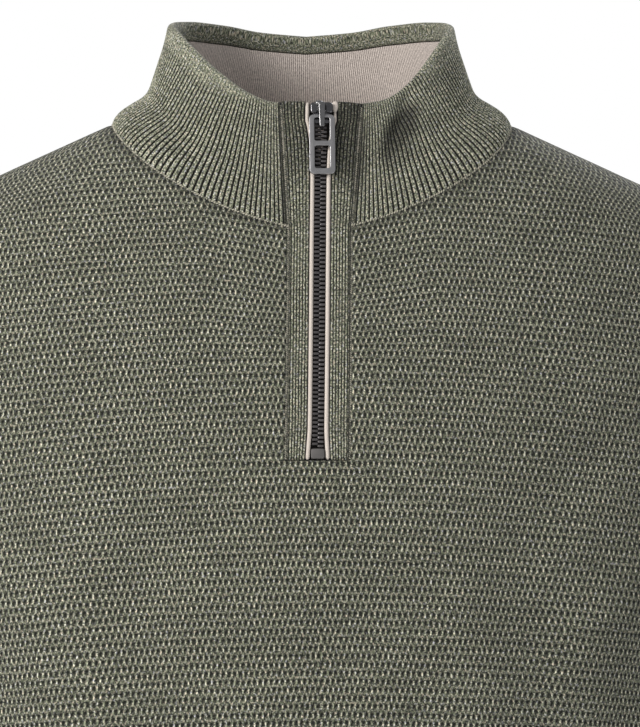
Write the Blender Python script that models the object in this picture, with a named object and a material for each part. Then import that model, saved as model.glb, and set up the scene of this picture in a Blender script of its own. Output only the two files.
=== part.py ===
"""A quarter zip sweater as it is worn: hollow, and open at its neck, hem and cuffs.

Sizes are millimetres and become metres when a mesh is made. The garment faces -Y, +X is the
wearer's left and +Z is up. The origin is the middle of the neck, level with the points where
the shoulder seams meet the collar. Each cloth piece is a wall: a grid of points on its outer
face, and a second face one thickness further in.
"""

import math
from collections import namedtuple

import bmesh
import bpy
import numpy as np
from mathutils import Matrix, Vector

MM = 0.001
SEAM_GAP = 0.3  # between neighbouring pieces

# Cloth
KNIT = 2.5  # wall of the knitted pieces
FACING = 2.0
FACING_GAP = 0.6  # between the collar and its facing
TAPE = 0.9

# Neck and collar
NECK_HALF_WIDTH = 100.0
NECK_DROP_FRONT = 55.0
NECK_DROP_BACK = 16.0
NECK_POWER_FRONT = 1.5  # superellipse power of the neckline, seen from the front
NECK_POWER_BACK = 2.2
RIM_HALF_WIDTH = 71.7
RIM_FRONT = 62.0
RIM_BACK = 66.0
RIM_THICKNESS = 5.2  # of the collar's top, where it turns over

# Armholes and seams
SHOULDER_Z = -66.0  # the shoulder seam ends here, at the top of the armhole
UNDERARM_Z = -235.0
ARMHOLE_FRONT_DEGREES = 36.0  # how far forward of the side the armhole is cut
ARMHOLE_BACK_DEGREES = 30.0
HEM_SEAM_Z = -615.0
HEM_Z = -680.0

# Zip and placket
ZIP_BOTTOM_Z = -166.0
ZIP_LEAN = 0.024  # the zip's top stands this much to the wearer's left, for each mm of height
ZIP_PLUMB_Z = -100.0  # where the leaning zip crosses the middle
PLACKET_HALF = 15.3  # from the zip's middle to the placket's outer edge
PLACKET_HALF_TOP = 20.0
TRIM_WIDTH = 2.0
CHAIN_HALF = 2.75
CHAIN_DEPTHS = (0.6, 2.5)  # front and back of the teeth, measured in from the placket's face
TRIM_DEPTHS = (0.2, 2.5)
TAPE_DEPTH = 2.8
TAPE_HALF = 9.5
STOP_SIZE = (6.5, 4.9, 2.6)  # across, high, deep
STOP_PROUD = 0.2  # the stop stands out of the placket's face
STOP_BEVEL = 0.4
SLIDER_TOP_GAP = 0.8  # from the slider's top to the collar's rim
SLIDER_LENGTH = 11.5
SLIDER_HALF_TOP = 5.6
SLIDER_HALF_BOTTOM = 3.9
SLIDER_PLATE = 1.2
SLIDER_BACK_CLEAR = 0.4  # the tape curves round towards the slider's back plate
SLIDER_POST = (2.2, 3.0)  # across, along the zip
SLIDER_POST_FROM_TOP = 0.6
BRIDGE_WIDTH = 3.2
BRIDGE_FROM_TOP = (2.6, 12.6)  # where the bridge's feet begin and end, down from the slider's top
BRIDGE_FOOT = 2.2
BRIDGE_CLEAR = 3.0  # under the bridge
BRIDGE_THICKNESS = 1.1

# Pull tab: a flat frame with two windows
PULL_WIDTH = 12.7
PULL_LENGTH = 30.6
PULL_THICKNESS = 1.5
PULL_BAR = 1.5  # the bar that turns under the bridge
PULL_SIDE = 2.6
PULL_UPPER_WINDOW = (1.5, 12.0)  # start and length, down from the pull's top
PULL_LOWER_WINDOW = (16.0, 11.6)
PULL_CORNER = 2.4
PULL_TIP_IN_DEGREES = 2.0  # the pull's lower end leans in to the zip
PULL_WINDOW_CORNER = 0.9
HINGE_FROM_TOP = 8.4  # the bar's axis, down from the slider's top
HINGE_OUT = 1.55  # the bar's axis, out from the slider's front plate

# Grid sizes
SIDE_ROWS, ARM_ROWS = 6, 9
FOOT_ROW = SIDE_ROWS + 3  # the panel row at the foot of the zip
NECK_COLUMNS, SHOULDER_COLUMNS = 9, 4
HALF_COLUMNS = NECK_COLUMNS + SHOULDER_COLUMNS
PLACKET_COLUMNS = 2
SLEEVE_BLEND_RINGS = 5
HEM_ROWS = 2
PANEL_DIP = 90.0  # a panel's middle is this much below its underarm, on the same row
COLLAR_HEIGHTS = (-NECK_DROP_FRONT, -42.0, -30.0, -14.0, -4.0, 0.0)  # rows of the zip's strips
PLACKET_HEIGHTS = (ZIP_BOTTOM_Z, -150.0, -130.0, -110.0, -90.0, -72.0)
SEAM_BLEND = 4.0  # strips turn from the body's lean to the collar's within this height

# How a sleeve leaves its armhole
SLEEVE_SET = 0.45  # share of the direction in which the armhole itself points
SLEEVE_AWAY = (0.95, 0.0, -0.3)  # the rest of the direction
SLEEVE_HEAD = (-24, 2, 75)  # from the first ring to the centre line's point above it

# How far the collar follows its roll
ROLL_LEAST = 0.12  # share of the roll at the front and back centres
ROLL_PEAK_DEGREES = 88.0
ROLL_SPREAD_DEGREES = 62.0

Section = namedtuple("Section", "z half_width front back squareness")
BODY = (
    Section(HEM_Z, 200, 115, 107, 2.2),
    Section(HEM_SEAM_Z, 205, 121, 111, 2.2),
    Section(-520, 203, 124, 106, 2.2),
    Section(-420, 201, 126, 101, 2.2),
    Section(-320, 202, 128, 106, 2.25),
    Section(UNDERARM_Z, 206, 127, 113, 2.3),
    Section(-200, 214, 124, 116, 2.25),
    Section(-160, 221, 117.5, 116.5, 2.2),
    Section(-110, 225, 103, 111, 2.1),
    Section(-75, 220, 90, 103, 2.0),
    Section(-57, 209, 83.5, 97, 2.0),
    Section(-40, 186, 77, 89, 2.0),
    Section(-24, 152.6, 70, 80, 2.0),
    Section(-12, 126.3, 64.5, 71, 2.0),
    Section(0, 100, 60, 62, 2.0),
)

Ring = namedtuple("Ring", "x y z across deep")
SLEEVE = (  # the left sleeve's rings below the armhole; the right sleeve mirrors them
    Ring(264, -8, -255, 50, 71),
    Ring(293, -12, -345, 48, 63),
    Ring(320, -19, -438, 46, 55),
    Ring(340, -30, -525, 44, 49),
    Ring(350, -39, -577, 42, 45),
    Ring(355, -44, -601, 35, 37),
)
CUFF = (
    Ring(355, -44, -601, 35, 37),
    Ring(357.5, -47, -616, 32, 34),
    Ring(362, -53, -645, 31.5, 33.5),
    Ring(366, -58, -670, 32, 34),
)

RimPoint = namedtuple("RimPoint", "degrees z")
RIM = (  # height of the collar's top, round from the front centre to the back
    RimPoint(0, 9.2),
    RimPoint(16, 9.2),
    RimPoint(25, 12.5),
    RimPoint(39, 22.5),
    RimPoint(60, 38.0),
    RimPoint(76, 46.5),
    RimPoint(95, 51.5),
    RimPoint(112, 53.9),
    RimPoint(126, 54.8),
    RimPoint(143, 53.8),
    RimPoint(160, 50.7),
    RimPoint(180, 48.6),
)

Roll = namedtuple("Roll", "along out up")
COLLAR_ROLL = (  # the collar's side, from its seam on the shoulder up to its rim, as shares
    Roll(0.00, 1.000, 0.000),
    Roll(0.09, 0.905, 0.087),
    Roll(0.17, 0.785, 0.148),
    Roll(0.26, 0.615, 0.208),
    Roll(0.35, 0.440, 0.265),
    Roll(0.42, 0.343, 0.325),
    Roll(0.52, 0.265, 0.444),
    Roll(0.63, 0.200, 0.564),
    Roll(0.83, 0.075, 0.800),
    Roll(1.00, 0.000, 1.000),
)
COLLAR_ALONG = (0.0, 0.09, 0.17, 0.26, 0.35, 0.45, 0.58, 0.74, 0.87, 0.96)  # the collar's rows
FOLD_ROW = -2  # the collar row level with the lower edge of its turned-over top

Spread = namedtuple("Spread", "z half_gap")
TRIM_SPREAD = (  # from the zip's middle to each trim, which clears the stop and the slider
    Spread(ZIP_BOTTOM_Z, 3.9),
    Spread(ZIP_BOTTOM_Z + 7, 3.5),
    Spread(ZIP_BOTTOM_Z + 16, 3.05),
    Spread(-30, 3.05),
    Spread(-14, 3.6),
    Spread(-4, 4.9),
    Spread(0, 5.9),
    Spread(10, 5.9),
)

Finish = namedtuple("Finish", "colour roughness metallic")
FINISHES = {
    "green_knit": Finish((0.141, 0.143, 0.108), 0.95, 0.0),
    "green_rib": Finish((0.150, 0.150, 0.116), 0.95, 0.0),
    "taupe_jersey": Finish((0.231, 0.205, 0.184), 0.95, 0.0),
    "cream_trim": Finish((0.66, 0.59, 0.52), 0.8, 0.0),
    "dark_tape": Finish((0.040, 0.037, 0.033), 0.9, 0.0),
    "dark_teeth": Finish((0.052, 0.047, 0.041), 0.45, 0.8),
    "gunmetal": Finish((0.20, 0.20, 0.21), 0.35, 1.0),
}


# Curves and surfaces


def smooth(at, rows, column, key="z"):
    """A column of a table as a curve through its rows that doesn't overshoot them."""
    knots = np.array([getattr(row, key) for row in rows], float)
    values = np.array([getattr(row, column) for row in rows], float)
    steps = np.diff(knots)
    slopes = np.diff(values) / steps
    before, after = slopes[:-1], slopes[1:]
    total = np.where(before + after == 0, 1.0, before + after)
    inner = np.where(before * after > 0, 2 * before * after / total, 0.0)
    tangents = np.concatenate([slopes[:1], inner, slopes[-1:]])
    at = np.clip(np.asarray(at, float), knots[0], knots[-1])
    i = np.clip(np.searchsorted(knots, at, side="right") - 1, 0, len(steps) - 1)
    t = (at - knots[i]) / steps[i]
    return (
        values[i] * (1 + 2 * t) * (1 - t) ** 2
        + values[i + 1] * t**2 * (3 - 2 * t)
        + steps[i] * (tangents[i] * t * (1 - t) ** 2 - tangents[i + 1] * t**2 * (1 - t))
    )


def unit(vectors):
    return vectors / np.maximum(np.linalg.norm(vectors, axis=-1, keepdims=True), 1e-9)


def resample(points, count):
    """count + 1 points at equal distances along a polyline."""
    distance = np.concatenate([[0], np.cumsum(np.linalg.norm(np.diff(points, axis=0), axis=1))])
    at = np.linspace(0, distance[-1], count + 1)
    return np.stack([np.interp(at, distance, points[:, k]) for k in range(points.shape[1])], axis=1)


def body_point(degrees, z):
    """A point of the body's outer face, degrees round from the front centre to the left side."""
    angle = np.radians(degrees)
    sine, cosine = np.sin(angle), np.cos(angle)
    power = 2 / smooth(z, BODY, "squareness")
    depth = np.where(cosine > 0, smooth(z, BODY, "front"), smooth(z, BODY, "back"))
    x = smooth(z, BODY, "half_width") * np.sign(sine) * np.abs(sine) ** power
    y = -depth * np.sign(cosine) * np.abs(cosine) ** power
    return np.stack(np.broadcast_arrays(x, y, z), axis=-1)


def body_inward(degrees, z):
    """The direction straight into the body from that point."""
    step = 0.5
    high, low = np.minimum(z + step, 0.0), np.maximum(z - step, HEM_Z)
    round_body = body_point(degrees + step, z) - body_point(degrees - step, z)
    up_body = body_point(degrees, high) - body_point(degrees, low)
    return unit(np.cross(up_body, round_body))


def degrees_of(x, z, back=False):
    """The body angle whose point lies x to the side at this height."""
    share = np.clip(np.abs(x) / smooth(z, BODY, "half_width"), 0, 1)
    degrees = np.degrees(np.arcsin(share ** (smooth(z, BODY, "squareness") / 2)))
    return np.sign(x) * (180 - degrees if back else degrees)


def zip_middle(z):
    return ZIP_LEAN * (np.asarray(z, float) - ZIP_PLUMB_Z)


def neckline(x, back=False):
    """Height of the neck seam at x."""
    drop, power = (NECK_DROP_BACK, NECK_POWER_BACK) if back else (NECK_DROP_FRONT, NECK_POWER_FRONT)
    share = np.clip(np.abs(x) / NECK_HALF_WIDTH, 0, 1)
    return -drop * (1 - share**power) ** (1 / power)


def neck_curve(start_x, back, count):
    """Angle and height of points along the left half of the neck seam, from start_x outwards."""
    power = 2 / (NECK_POWER_BACK if back else NECK_POWER_FRONT)
    first = math.asin((abs(start_x) / NECK_HALF_WIDTH) ** (1 / power))
    x = NECK_HALF_WIDTH * np.sin(np.linspace(first, math.pi / 2, 400)) ** power
    z = neckline(x, back)
    degrees = np.abs(degrees_of(np.maximum(x, 1e-6), z, back))
    return along_surface(degrees, z, count)


def along_surface(degrees, z, count):
    """Angles and heights at equal distances along a curve on the body."""
    both = np.concatenate([body_point(degrees, z), degrees[:, None], z[:, None]], axis=1)
    distance = np.concatenate([[0], np.cumsum(np.linalg.norm(np.diff(both[:, :3], axis=0), axis=1))])
    at = np.linspace(0, distance[-1], count + 1)
    return np.interp(at, distance, degrees), np.interp(at, distance, z)


def armhole(back, count):
    """Angles and heights along the left armhole, from the underarm up to the shoulder."""
    turn = np.linspace(math.pi, 0, 400)
    cut = ARMHOLE_BACK_DEGREES if back else ARMHOLE_FRONT_DEGREES
    degrees = 90 + (1 if back else -1) * cut * np.sin(turn)
    z = (SHOULDER_Z + UNDERARM_Z) / 2 + (SHOULDER_Z - UNDERARM_Z) / 2 * np.cos(turn)
    return along_surface(degrees, z, count)


# Meshes


def material(finish):
    made = bpy.data.materials.get(finish)
    if made is None:
        made = bpy.data.materials.new(finish)
        made.use_nodes = True
        shader = made.node_tree.nodes["Principled BSDF"]
        shader.inputs["Base Color"].default_value = (*FINISHES[finish].colour, 1)
        shader.inputs["Roughness"].default_value = FINISHES[finish].roughness
        shader.inputs["Metallic"].default_value = FINISHES[finish].metallic
    return made


def add_object(name, mesh, finish, smooth_angle=None):
    """Turns a bmesh in metres into a named object, with its faces outwards."""
    bmesh.ops.recalc_face_normals(mesh, faces=mesh.faces)
    if mesh.calc_volume(signed=True) < 0:
        bmesh.ops.reverse_faces(mesh, faces=mesh.faces)
    data = bpy.data.meshes.new(name)
    mesh.to_mesh(data)
    mesh.free()
    data.materials.append(material(finish))
    if smooth_angle is not None:
        data.shade_smooth()
        data.set_sharp_from_angle(angle=math.radians(smooth_angle))
    made = bpy.data.objects.new(name, data)
    bpy.context.scene.collection.objects.link(made)
    return made


def wall(name, outer, inward, thickness, finish, kept=None, closed=False):
    """A cloth wall. The outer face is a grid of points, and closed joins its last column to its
    first. kept says which cells of the grid are cloth."""
    rows, columns = outer.shape[:2]
    cells = columns if closed else columns - 1
    if kept is None:
        kept = np.ones((rows - 1, cells), bool)
    mesh = bmesh.new()
    faces = [outer * MM, (outer + inward * thickness) * MM]
    verts = [[[mesh.verts.new(point) for point in row] for row in face] for face in faces]

    def is_kept(i, j):
        j = j % cells if closed else j
        return 0 <= i < rows - 1 and 0 <= j < cells and kept[i, j]

    for i in range(rows - 1):
        for j in range(cells):
            if not is_kept(i, j):
                continue
            k = (j + 1) % columns
            corners = [(i, j), (i, k), (i + 1, k), (i + 1, j)]
            neighbours = [(i - 1, j), (i, j + 1), (i + 1, j), (i, j - 1)]
            for face in verts:
                mesh.faces.new([face[r][c] for r, c in corners])
            for n, neighbour in enumerate(neighbours):
                if is_kept(*neighbour):
                    continue
                (r, c), (s, d) = corners[n], corners[(n + 1) % 4]
                mesh.faces.new([verts[0][r][c], verts[0][s][d], verts[1][s][d], verts[1][r][c]])
    bmesh.ops.delete(mesh, geom=[v for v in mesh.verts if not v.link_faces], context="VERTS")
    return add_object(name, mesh, finish, smooth_angle=50)


def draw_in(grid, inward, rows=(), columns=(), by=SEAM_GAP / 2):
    """Moves the named border rows and columns of a grid square to themselves, towards its
    middle."""
    moved = grid.copy()
    for row in rows:
        inner = grid[1 if row == 0 else -2] - grid[row]
        moved[row] += by * square_to(grid[row], inward[row], inner)
    for column in columns:
        inner = grid[:, 1 if column == 0 else -2] - grid[:, column]
        moved[:, column] += by * square_to(grid[:, column], inward[:, column], inner)
    return moved


def square_to(border, inward, inner):
    """Directions square to a border line in the plane of the cloth, on the inner side."""
    if np.allclose(border[0], border[-1]) or len(border) < 3:
        return unit(inner)
    across = unit(np.cross(np.gradient(border, axis=0), inward))
    return across * np.sign(np.sum(across * inner))


def grid_inward(grid, closed, centre):
    """Directions square to a grid of points, on the side where its centre lies."""
    if closed:
        across = np.roll(grid, -1, axis=1) - np.roll(grid, 1, axis=1)
    else:
        across = np.gradient(grid, axis=1)
    inward = unit(np.cross(np.gradient(grid, axis=0), across))
    towards = np.sum(inward * (centre - grid), axis=-1).mean()
    return inward if towards > 0 else -inward


def mirrored(grid):
    return grid * np.array([-1.0, 1.0, 1.0])


# Sleeves and cuffs


def ring_points(ring, direction, count):
    """The points of a sleeve ring, from its outer side round by the front."""
    out = np.array([direction[2], 0.0, -direction[0]])
    out = unit(out * np.sign(out[0]))
    fore = unit(np.cross(direction, out))
    fore = fore * -np.sign(fore[1])
    turn = np.linspace(0, 2 * math.pi, count, endpoint=False)[:, None]
    centre = np.array([ring.x, ring.y, ring.z], float)
    return centre + ring.across * np.cos(turn) * out + ring.deep * np.sin(turn) * fore


def tube(rings, before, after, count):
    """Rings square to the line through their centres, which goes on to before and after."""
    centres = np.array([[ring.x, ring.y, ring.z] for ring in (before, *rings, after)], float)
    directions = unit(centres[2:] - centres[:-2])
    return np.stack([ring_points(r, d, count) for r, d in zip(rings, directions)]), directions


def beyond(inner, end):
    """A ring as far past the end as the one before it."""
    return Ring(2 * end.x - inner.x, 2 * end.y - inner.y, 2 * end.z - inner.z, end.across, end.deep)


def armhole_seam():
    """The left armhole's points, from the shoulder down the front and up the back, with the
    body's direction inwards, and the way that its cloth would go on into the sleeve."""
    front, back = armhole(False, ARM_ROWS), armhole(True, ARM_ROWS)
    degrees = np.concatenate([front[0][::-1], back[0][1:-1]])
    z = np.concatenate([front[1][::-1], back[1][1:-1]])
    points, inward = body_point(degrees, z), body_inward(degrees, z)
    along = np.roll(points, -1, axis=0) - np.roll(points, 1, axis=0)
    onward = unit(np.cross(inward, along))
    return points, inward, onward * np.sign(onward[len(onward) // 4][0])


def sleeve_grids():
    """Outer faces of the left sleeve and cuff, with their directions inwards."""
    seam, body_in, onward = armhole_seam()
    count = len(seam)
    first = SLEEVE[0]
    head = Ring(*np.add(first[:3], SLEEVE_HEAD), first.across, first.deep)
    lower, directions = tube(SLEEVE[:-1], head, SLEEVE[-1], count)
    cuff, _ = tube(CUFF, SLEEVE[-2], beyond(CUFF[-2], CUFF[-1]), count)
    start = unit(SLEEVE_SET * onward + (1 - SLEEVE_SET) * np.array(SLEEVE_AWAY))
    span = np.linalg.norm(lower[0] - seam, axis=1)[:, None]
    blend = []
    for t in np.linspace(0, 1, SLEEVE_BLEND_RINGS + 1)[:-1]:
        t = t**0.8
        blend.append(
            seam * (1 + 2 * t) * (1 - t) ** 2
            + lower[0] * t**2 * (3 - 2 * t)
            + span * (start * t * (1 - t) ** 2 - directions[0] * t**2 * (1 - t))
        )
    sleeve = np.concatenate([np.stack(blend), lower, cuff[:1]])
    inward = grid_inward(sleeve, True, sleeve.mean(axis=1, keepdims=True))
    cuff_in = grid_inward(cuff, True, cuff.mean(axis=1, keepdims=True))
    inward[0] = unit(inward[0] + body_in)
    inward[-1] = cuff_in[0] = unit(inward[-1] + cuff_in[0])
    return sleeve, inward, cuff, cuff_in


def draw_ring_in(grid, inward, rows):
    """The same for a tube, whose last column goes on to its first."""
    looped = [np.concatenate([part[:, -1:], part, part[:, :1]], axis=1) for part in (grid, inward)]
    return draw_in(*looped, rows)[:, 1:-1]


def make_sleeves(sleeve, sleeve_in, cuff, cuff_in):
    """A sleeve has a front and a back piece, which meet along the top of the arm and under it."""
    halves = (("front", slice(0, ARM_ROWS + 1)), ("back", slice(ARM_ROWS, None)))
    for side, flip in (("left", np.array), ("right", mirrored)):
        shell, shell_in = (
            np.concatenate([part, part[:, :1]], axis=1) for part in (flip(sleeve), flip(sleeve_in))
        )
        for label, columns in halves:
            outer, inward = shell[:, columns], shell_in[:, columns]
            half = draw_in(outer, inward, rows=(0, -1))
            half = draw_in(half, inward, columns=(0, -1), by=SEAM_GAP)
            wall(f"sleeve_{side}_{label}", half, inward, KNIT, "green_knit")
        band = draw_ring_in(flip(cuff), flip(cuff_in), (0,))
        wall("cuff_" + side, band, flip(cuff_in), KNIT, "green_rib", closed=True)


# Body panels and hem


def patch(bottom, top, inner, outer):
    """Fills four borders with a grid between them."""
    rows, columns = len(inner), len(bottom)
    v = np.linspace(0, 1, rows)[:, None, None]
    u = np.linspace(0, 1, columns)[None, :, None]
    return (
        (1 - u) * inner[:, None]
        + u * outer[:, None]
        + (1 - v) * bottom[None]
        + v * top[None]
        - (1 - u) * ((1 - v) * bottom[0] + v * top[0])
        - u * ((1 - v) * bottom[-1] + v * top[-1])
    )


TURNS = np.linspace(0, 90, 91)


def girths(z, back):
    """Distances round the body at one height, from the middle of a panel to each of TURNS."""
    points = body_point(180 - TURNS if back else TURNS, z)
    return np.concatenate([[0], np.cumsum(np.linalg.norm(np.diff(points, axis=0), axis=1))])


def laid_flat(degrees, z, back):
    """Distances round from the panel's middle, with heights."""
    turned = 180 - degrees if back else degrees
    around = [np.interp(turn, TURNS, girths(height, back)) for turn, height in zip(turned, z)]
    return np.stack([around, z], axis=1)


def wrapped(flat, back):
    """Angles and heights of a grid that was laid flat."""
    turned = np.array([[np.interp(x, girths(z, back), TURNS) for x, z in row] for row in flat])
    return (180 - turned if back else turned), flat[..., 1]


def outer_border(back):
    """The left border of a panel, up the side seam and the armhole."""
    side_z = np.linspace(HEM_SEAM_Z, UNDERARM_Z, SIDE_ROWS + 1)[:-1]
    arm_degrees, arm_z = armhole(back, ARM_ROWS)
    return np.concatenate([np.full(SIDE_ROWS, 90.0), arm_degrees]), np.concatenate([side_z, arm_z])


def top_border(start_x, back):
    """The upper border, out along the neck seam and down the shoulder seam."""
    neck_degrees, neck_z = neck_curve(start_x, back, NECK_COLUMNS)
    seam_z = np.linspace(0, SHOULDER_Z, 200)
    seam_degrees, seam_z = along_surface(np.full(200, 90.0), seam_z, SHOULDER_COLUMNS)
    return np.concatenate([neck_degrees, seam_degrees[1:]]), np.concatenate([neck_z, seam_z[1:]])


def inner_heights(top, back):
    """Heights of the panel's rows at its middle, one of them at the foot of the zip."""
    stops = ((0, HEM_SEAM_Z), (SIDE_ROWS, UNDERARM_Z - PANEL_DIP), (SIDE_ROWS + ARM_ROWS, top))
    if not back:
        stops = (*stops[:2], (FOOT_ROW, ZIP_BOTTOM_Z - SEAM_GAP), stops[2])
    rows, heights = zip(*stops)
    return np.interp(np.arange(rows[-1] + 1), rows, heights)


def half_panel(side, back):
    """Angles and heights of one half of a panel, from its middle to its side seam. side is 1
    for the left. The front's half starts at the placket."""
    start_x = 0.0 if back else placket_edge(side)
    top_degrees, top_z = top_border(start_x, back)
    z = inner_heights(top_z[0], back)
    if back:
        degrees = np.full(len(z), 180.0)
    else:
        x = PLACKET_HALF + SEAM_GAP + side * zip_middle(z)
        x[-1] = start_x
        degrees = degrees_of(x, z)
    inner = laid_flat(degrees, z, back)
    outer = laid_flat(*outer_border(back), back)
    top = laid_flat(top_degrees, top_z, back)
    bottom = np.linspace(inner[0], outer[0], HALF_COLUMNS + 1)
    degrees, z = wrapped(patch(bottom, top, inner, outer), back)
    degrees[:, -1] = outer_border(back)[0]
    degrees[-1] = top_degrees
    return side * degrees, z


def placket_edge(side):
    """Where the neck seam starts beside the placket, as a distance from the middle."""
    return PLACKET_HALF + SEAM_GAP + side * float(zip_middle(-NECK_DROP_FRONT))


def panel(back, seam_in, neck_in):
    """Outer face of a panel and its directions inwards, from its right side to its left.
    seam_in and neck_in are the directions shared with the sleeves and the collar."""
    left_degrees, left_z = half_panel(1, back)
    right_degrees, right_z = half_panel(-1, back)
    halves = []
    for degrees, z, side in ((right_degrees, right_z, -1), (left_degrees, left_z, 1)):
        inward = body_inward(degrees, z)
        inward[-1, : NECK_COLUMNS + 1] = neck_in[side]
        inward[SIDE_ROWS:, -1] = seam_in if side > 0 else mirrored(seam_in)
        halves.append((body_point(degrees, z), inward))
    (right, right_in), (left, left_in) = halves
    if back:
        join = [right[:, ::-1], left[:, 1:]], [right_in[:, ::-1], left_in[:, 1:]]
    else:
        middle_z = (right[:, 0, 2] + left[:, 0, 2]) / 2
        middle_degrees = degrees_of(zip_middle(middle_z), middle_z)
        middle = body_point(middle_degrees, middle_z)[:, None]
        middle_in = body_inward(middle_degrees, middle_z)[:, None]
        join = [right[:, ::-1], middle, left], [right_in[:, ::-1], middle_in, left_in]
    return np.concatenate(join[0], axis=1), np.concatenate(join[1], axis=1)


def make_panels(seam_in, neck_in):
    """The two panels, and the hem bands that carry on below them."""
    count = ARM_ROWS
    front_seam = seam_in[: count + 1][::-1]
    back_seam = np.concatenate([seam_in[count:], seam_in[:1]])
    for name, back, seam in (("front", False, front_seam), ("back", True, back_seam)):
        outer, inward = panel(back, seam, neck_in["back" if back else "front"])
        kept = np.ones((outer.shape[0] - 1, outer.shape[1] - 1), bool)
        if not back:
            kept[FOOT_ROW:, HALF_COLUMNS : HALF_COLUMNS + 2] = False
        wall(name, draw_in(outer, inward, (0, -1), (0, -1)), inward, KNIT, "green_knit", kept)
        heights = np.linspace(HEM_SEAM_Z, HEM_Z, HEM_ROWS + 1)[:, None]
        degrees = np.degrees(body_angles(outer[0]))[None, :] + 0 * heights
        if back:
            degrees = np.where(degrees < 0, degrees + 360, degrees)
        heights = heights + 0 * degrees
        band, band_in = body_point(degrees, heights), body_inward(degrees, heights)
        wall("hem_" + name, draw_in(band, band_in, (0,), (0, -1)), band_in, KNIT, "green_rib")


def body_angles(points):
    """The body angles of points on the hem seam."""
    section = BODY[1]
    power = section.squareness / 2
    x = np.abs(points[:, 0] / section.half_width) ** power * np.sign(points[:, 0])
    depth = np.where(points[:, 1] < 0, section.front, section.back)
    y = np.abs(points[:, 1] / depth) ** power * np.sign(points[:, 1])
    return np.arctan2(x, -y)


# Collar, facing and placket


def rim_point(x=None, degrees=None):
    """A point of the collar's top, by its place to the side at the front, or by its angle."""
    if degrees is None:
        degrees = np.degrees(np.arcsin(np.clip(np.asarray(x, float) / RIM_HALF_WIDTH, -1, 1)))
    angle = np.radians(degrees)
    depth = np.where(np.cos(angle) > 0, RIM_FRONT, RIM_BACK)
    z = smooth(np.abs(degrees), RIM, "z", key="degrees")
    return np.stack([RIM_HALF_WIDTH * np.sin(angle), -depth * np.cos(angle), z], axis=-1)


def rim_curve(first_degrees, last_degrees, count):
    return resample(rim_point(degrees=np.linspace(first_degrees, last_degrees, 300)), count)


def neck_seam(side):
    """Points of one half of the neck seam from the placket to the back centre, with the body's
    directions inwards and, for each, its place round the collar in degrees."""
    front = neck_curve(placket_edge(side), False, NECK_COLUMNS)
    back = neck_curve(0.0, True, NECK_COLUMNS)
    degrees = side * np.concatenate([front[0], back[0][::-1][1:]])
    z = np.concatenate([front[1], back[1][::-1][1:]])
    return body_point(degrees, z), body_inward(degrees, z)


def rim_line(side):
    """Points of the collar's top that stand above those of the neck seam."""
    first = PLACKET_HALF_TOP + SEAM_GAP + side * float(zip_middle(RIM[0].z))
    start = math.degrees(math.asin(first / RIM_HALF_WIDTH))
    front = rim_curve(side * start, side * 90, NECK_COLUMNS)
    back = rim_curve(side * 90, side * 180, NECK_COLUMNS)
    return np.concatenate([front, back[1:]])


def roll_share():
    """How much of the rolled shape each column has: all of it at the sides, little in front."""
    place = np.linspace(0, 180, 2 * NECK_COLUMNS + 1)
    near_side = np.clip(1 - np.abs(place - ROLL_PEAK_DEGREES) / ROLL_SPREAD_DEGREES, 0, 1) ** 0.7
    return ROLL_LEAST + (1 - ROLL_LEAST) * near_side


def collar_face(base, rim, share, along):
    """Points between the neck seam and the rim, at each share of the way up."""
    out = smooth(along, COLLAR_ROLL, "out", key="along")[:, None]
    up = smooth(along, COLLAR_ROLL, "up", key="along")[:, None]
    plain = np.asarray(along)[:, None]
    out = out * share + (1 - plain) * (1 - share)
    up = up * share + plain * (1 - share)
    face = rim + (base - rim) * out[..., None]
    face[..., 2] = base[:, 2] + (rim[:, 2] - base[:, 2]) * up
    return face


def collar_half(side, along):
    base, base_in = neck_seam(side)
    return collar_face(base, rim_line(side), roll_share(), along), base_in


def whole_collar(along):
    """The collar's outer face from the right of the placket round the back to its left."""
    right, right_in = collar_half(-1, along)
    left, left_in = collar_half(1, along)
    face = np.concatenate([right, left[:, ::-1][:, 1:]], axis=1)
    body_in = np.concatenate([right_in, left_in[::-1][1:]])
    inward = grid_inward(face, False, face * np.array([0.0, 0.0, 1.0]))
    inward[0] = unit(inward[0] + body_in)
    return face, inward


def neck_directions():
    """The directions inwards that the collar shares with the panels, column by column."""
    _, inward = whole_collar(COLLAR_ALONG)
    shared = inward[0]
    columns = NECK_COLUMNS + 1
    count = len(shared)
    right_front, left_front = shared[:columns], shared[count - columns :][::-1]
    right_back = shared[NECK_COLUMNS : 2 * NECK_COLUMNS + 1][::-1]
    left_back = shared[2 * NECK_COLUMNS : count - NECK_COLUMNS]
    return {"front": {-1: right_front, 1: left_front}, "back": {-1: right_back, 1: left_back}}


def make_collar():
    """The collar as one section swept round: up its outer face, over the top, down the inside
    of the turned-over part, and down its inner face."""
    face, inward = whole_collar(COLLAR_ALONG)
    face = draw_in(face, inward, rows=(0,), columns=(0, -1))
    upward = unit(face[-1] - face[-2])
    inward[-1] = unit(inward[-1] - upward * np.sum(inward[-1] * upward, axis=-1, keepdims=True))
    half = RIM_THICKNESS / 2
    profile = list(face)
    for degrees in (45, 90, 135):
        turn = math.radians(degrees)
        lift = upward * math.sin(turn) * half
        profile.append(face[-1] + lift + inward[-1] * half * (1 - math.cos(turn)))
    profile.append(face[-1] + inward[-1] * RIM_THICKNESS)
    profile.append(face[FOLD_ROW] + inward[FOLD_ROW] * RIM_THICKNESS)
    for row in range(len(COLLAR_ALONG) + FOLD_ROW, -1, -1):
        profile.append(face[row] + inward[row] * KNIT)
    sweep("collar", np.stack(profile, axis=1), "green_rib")


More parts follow.
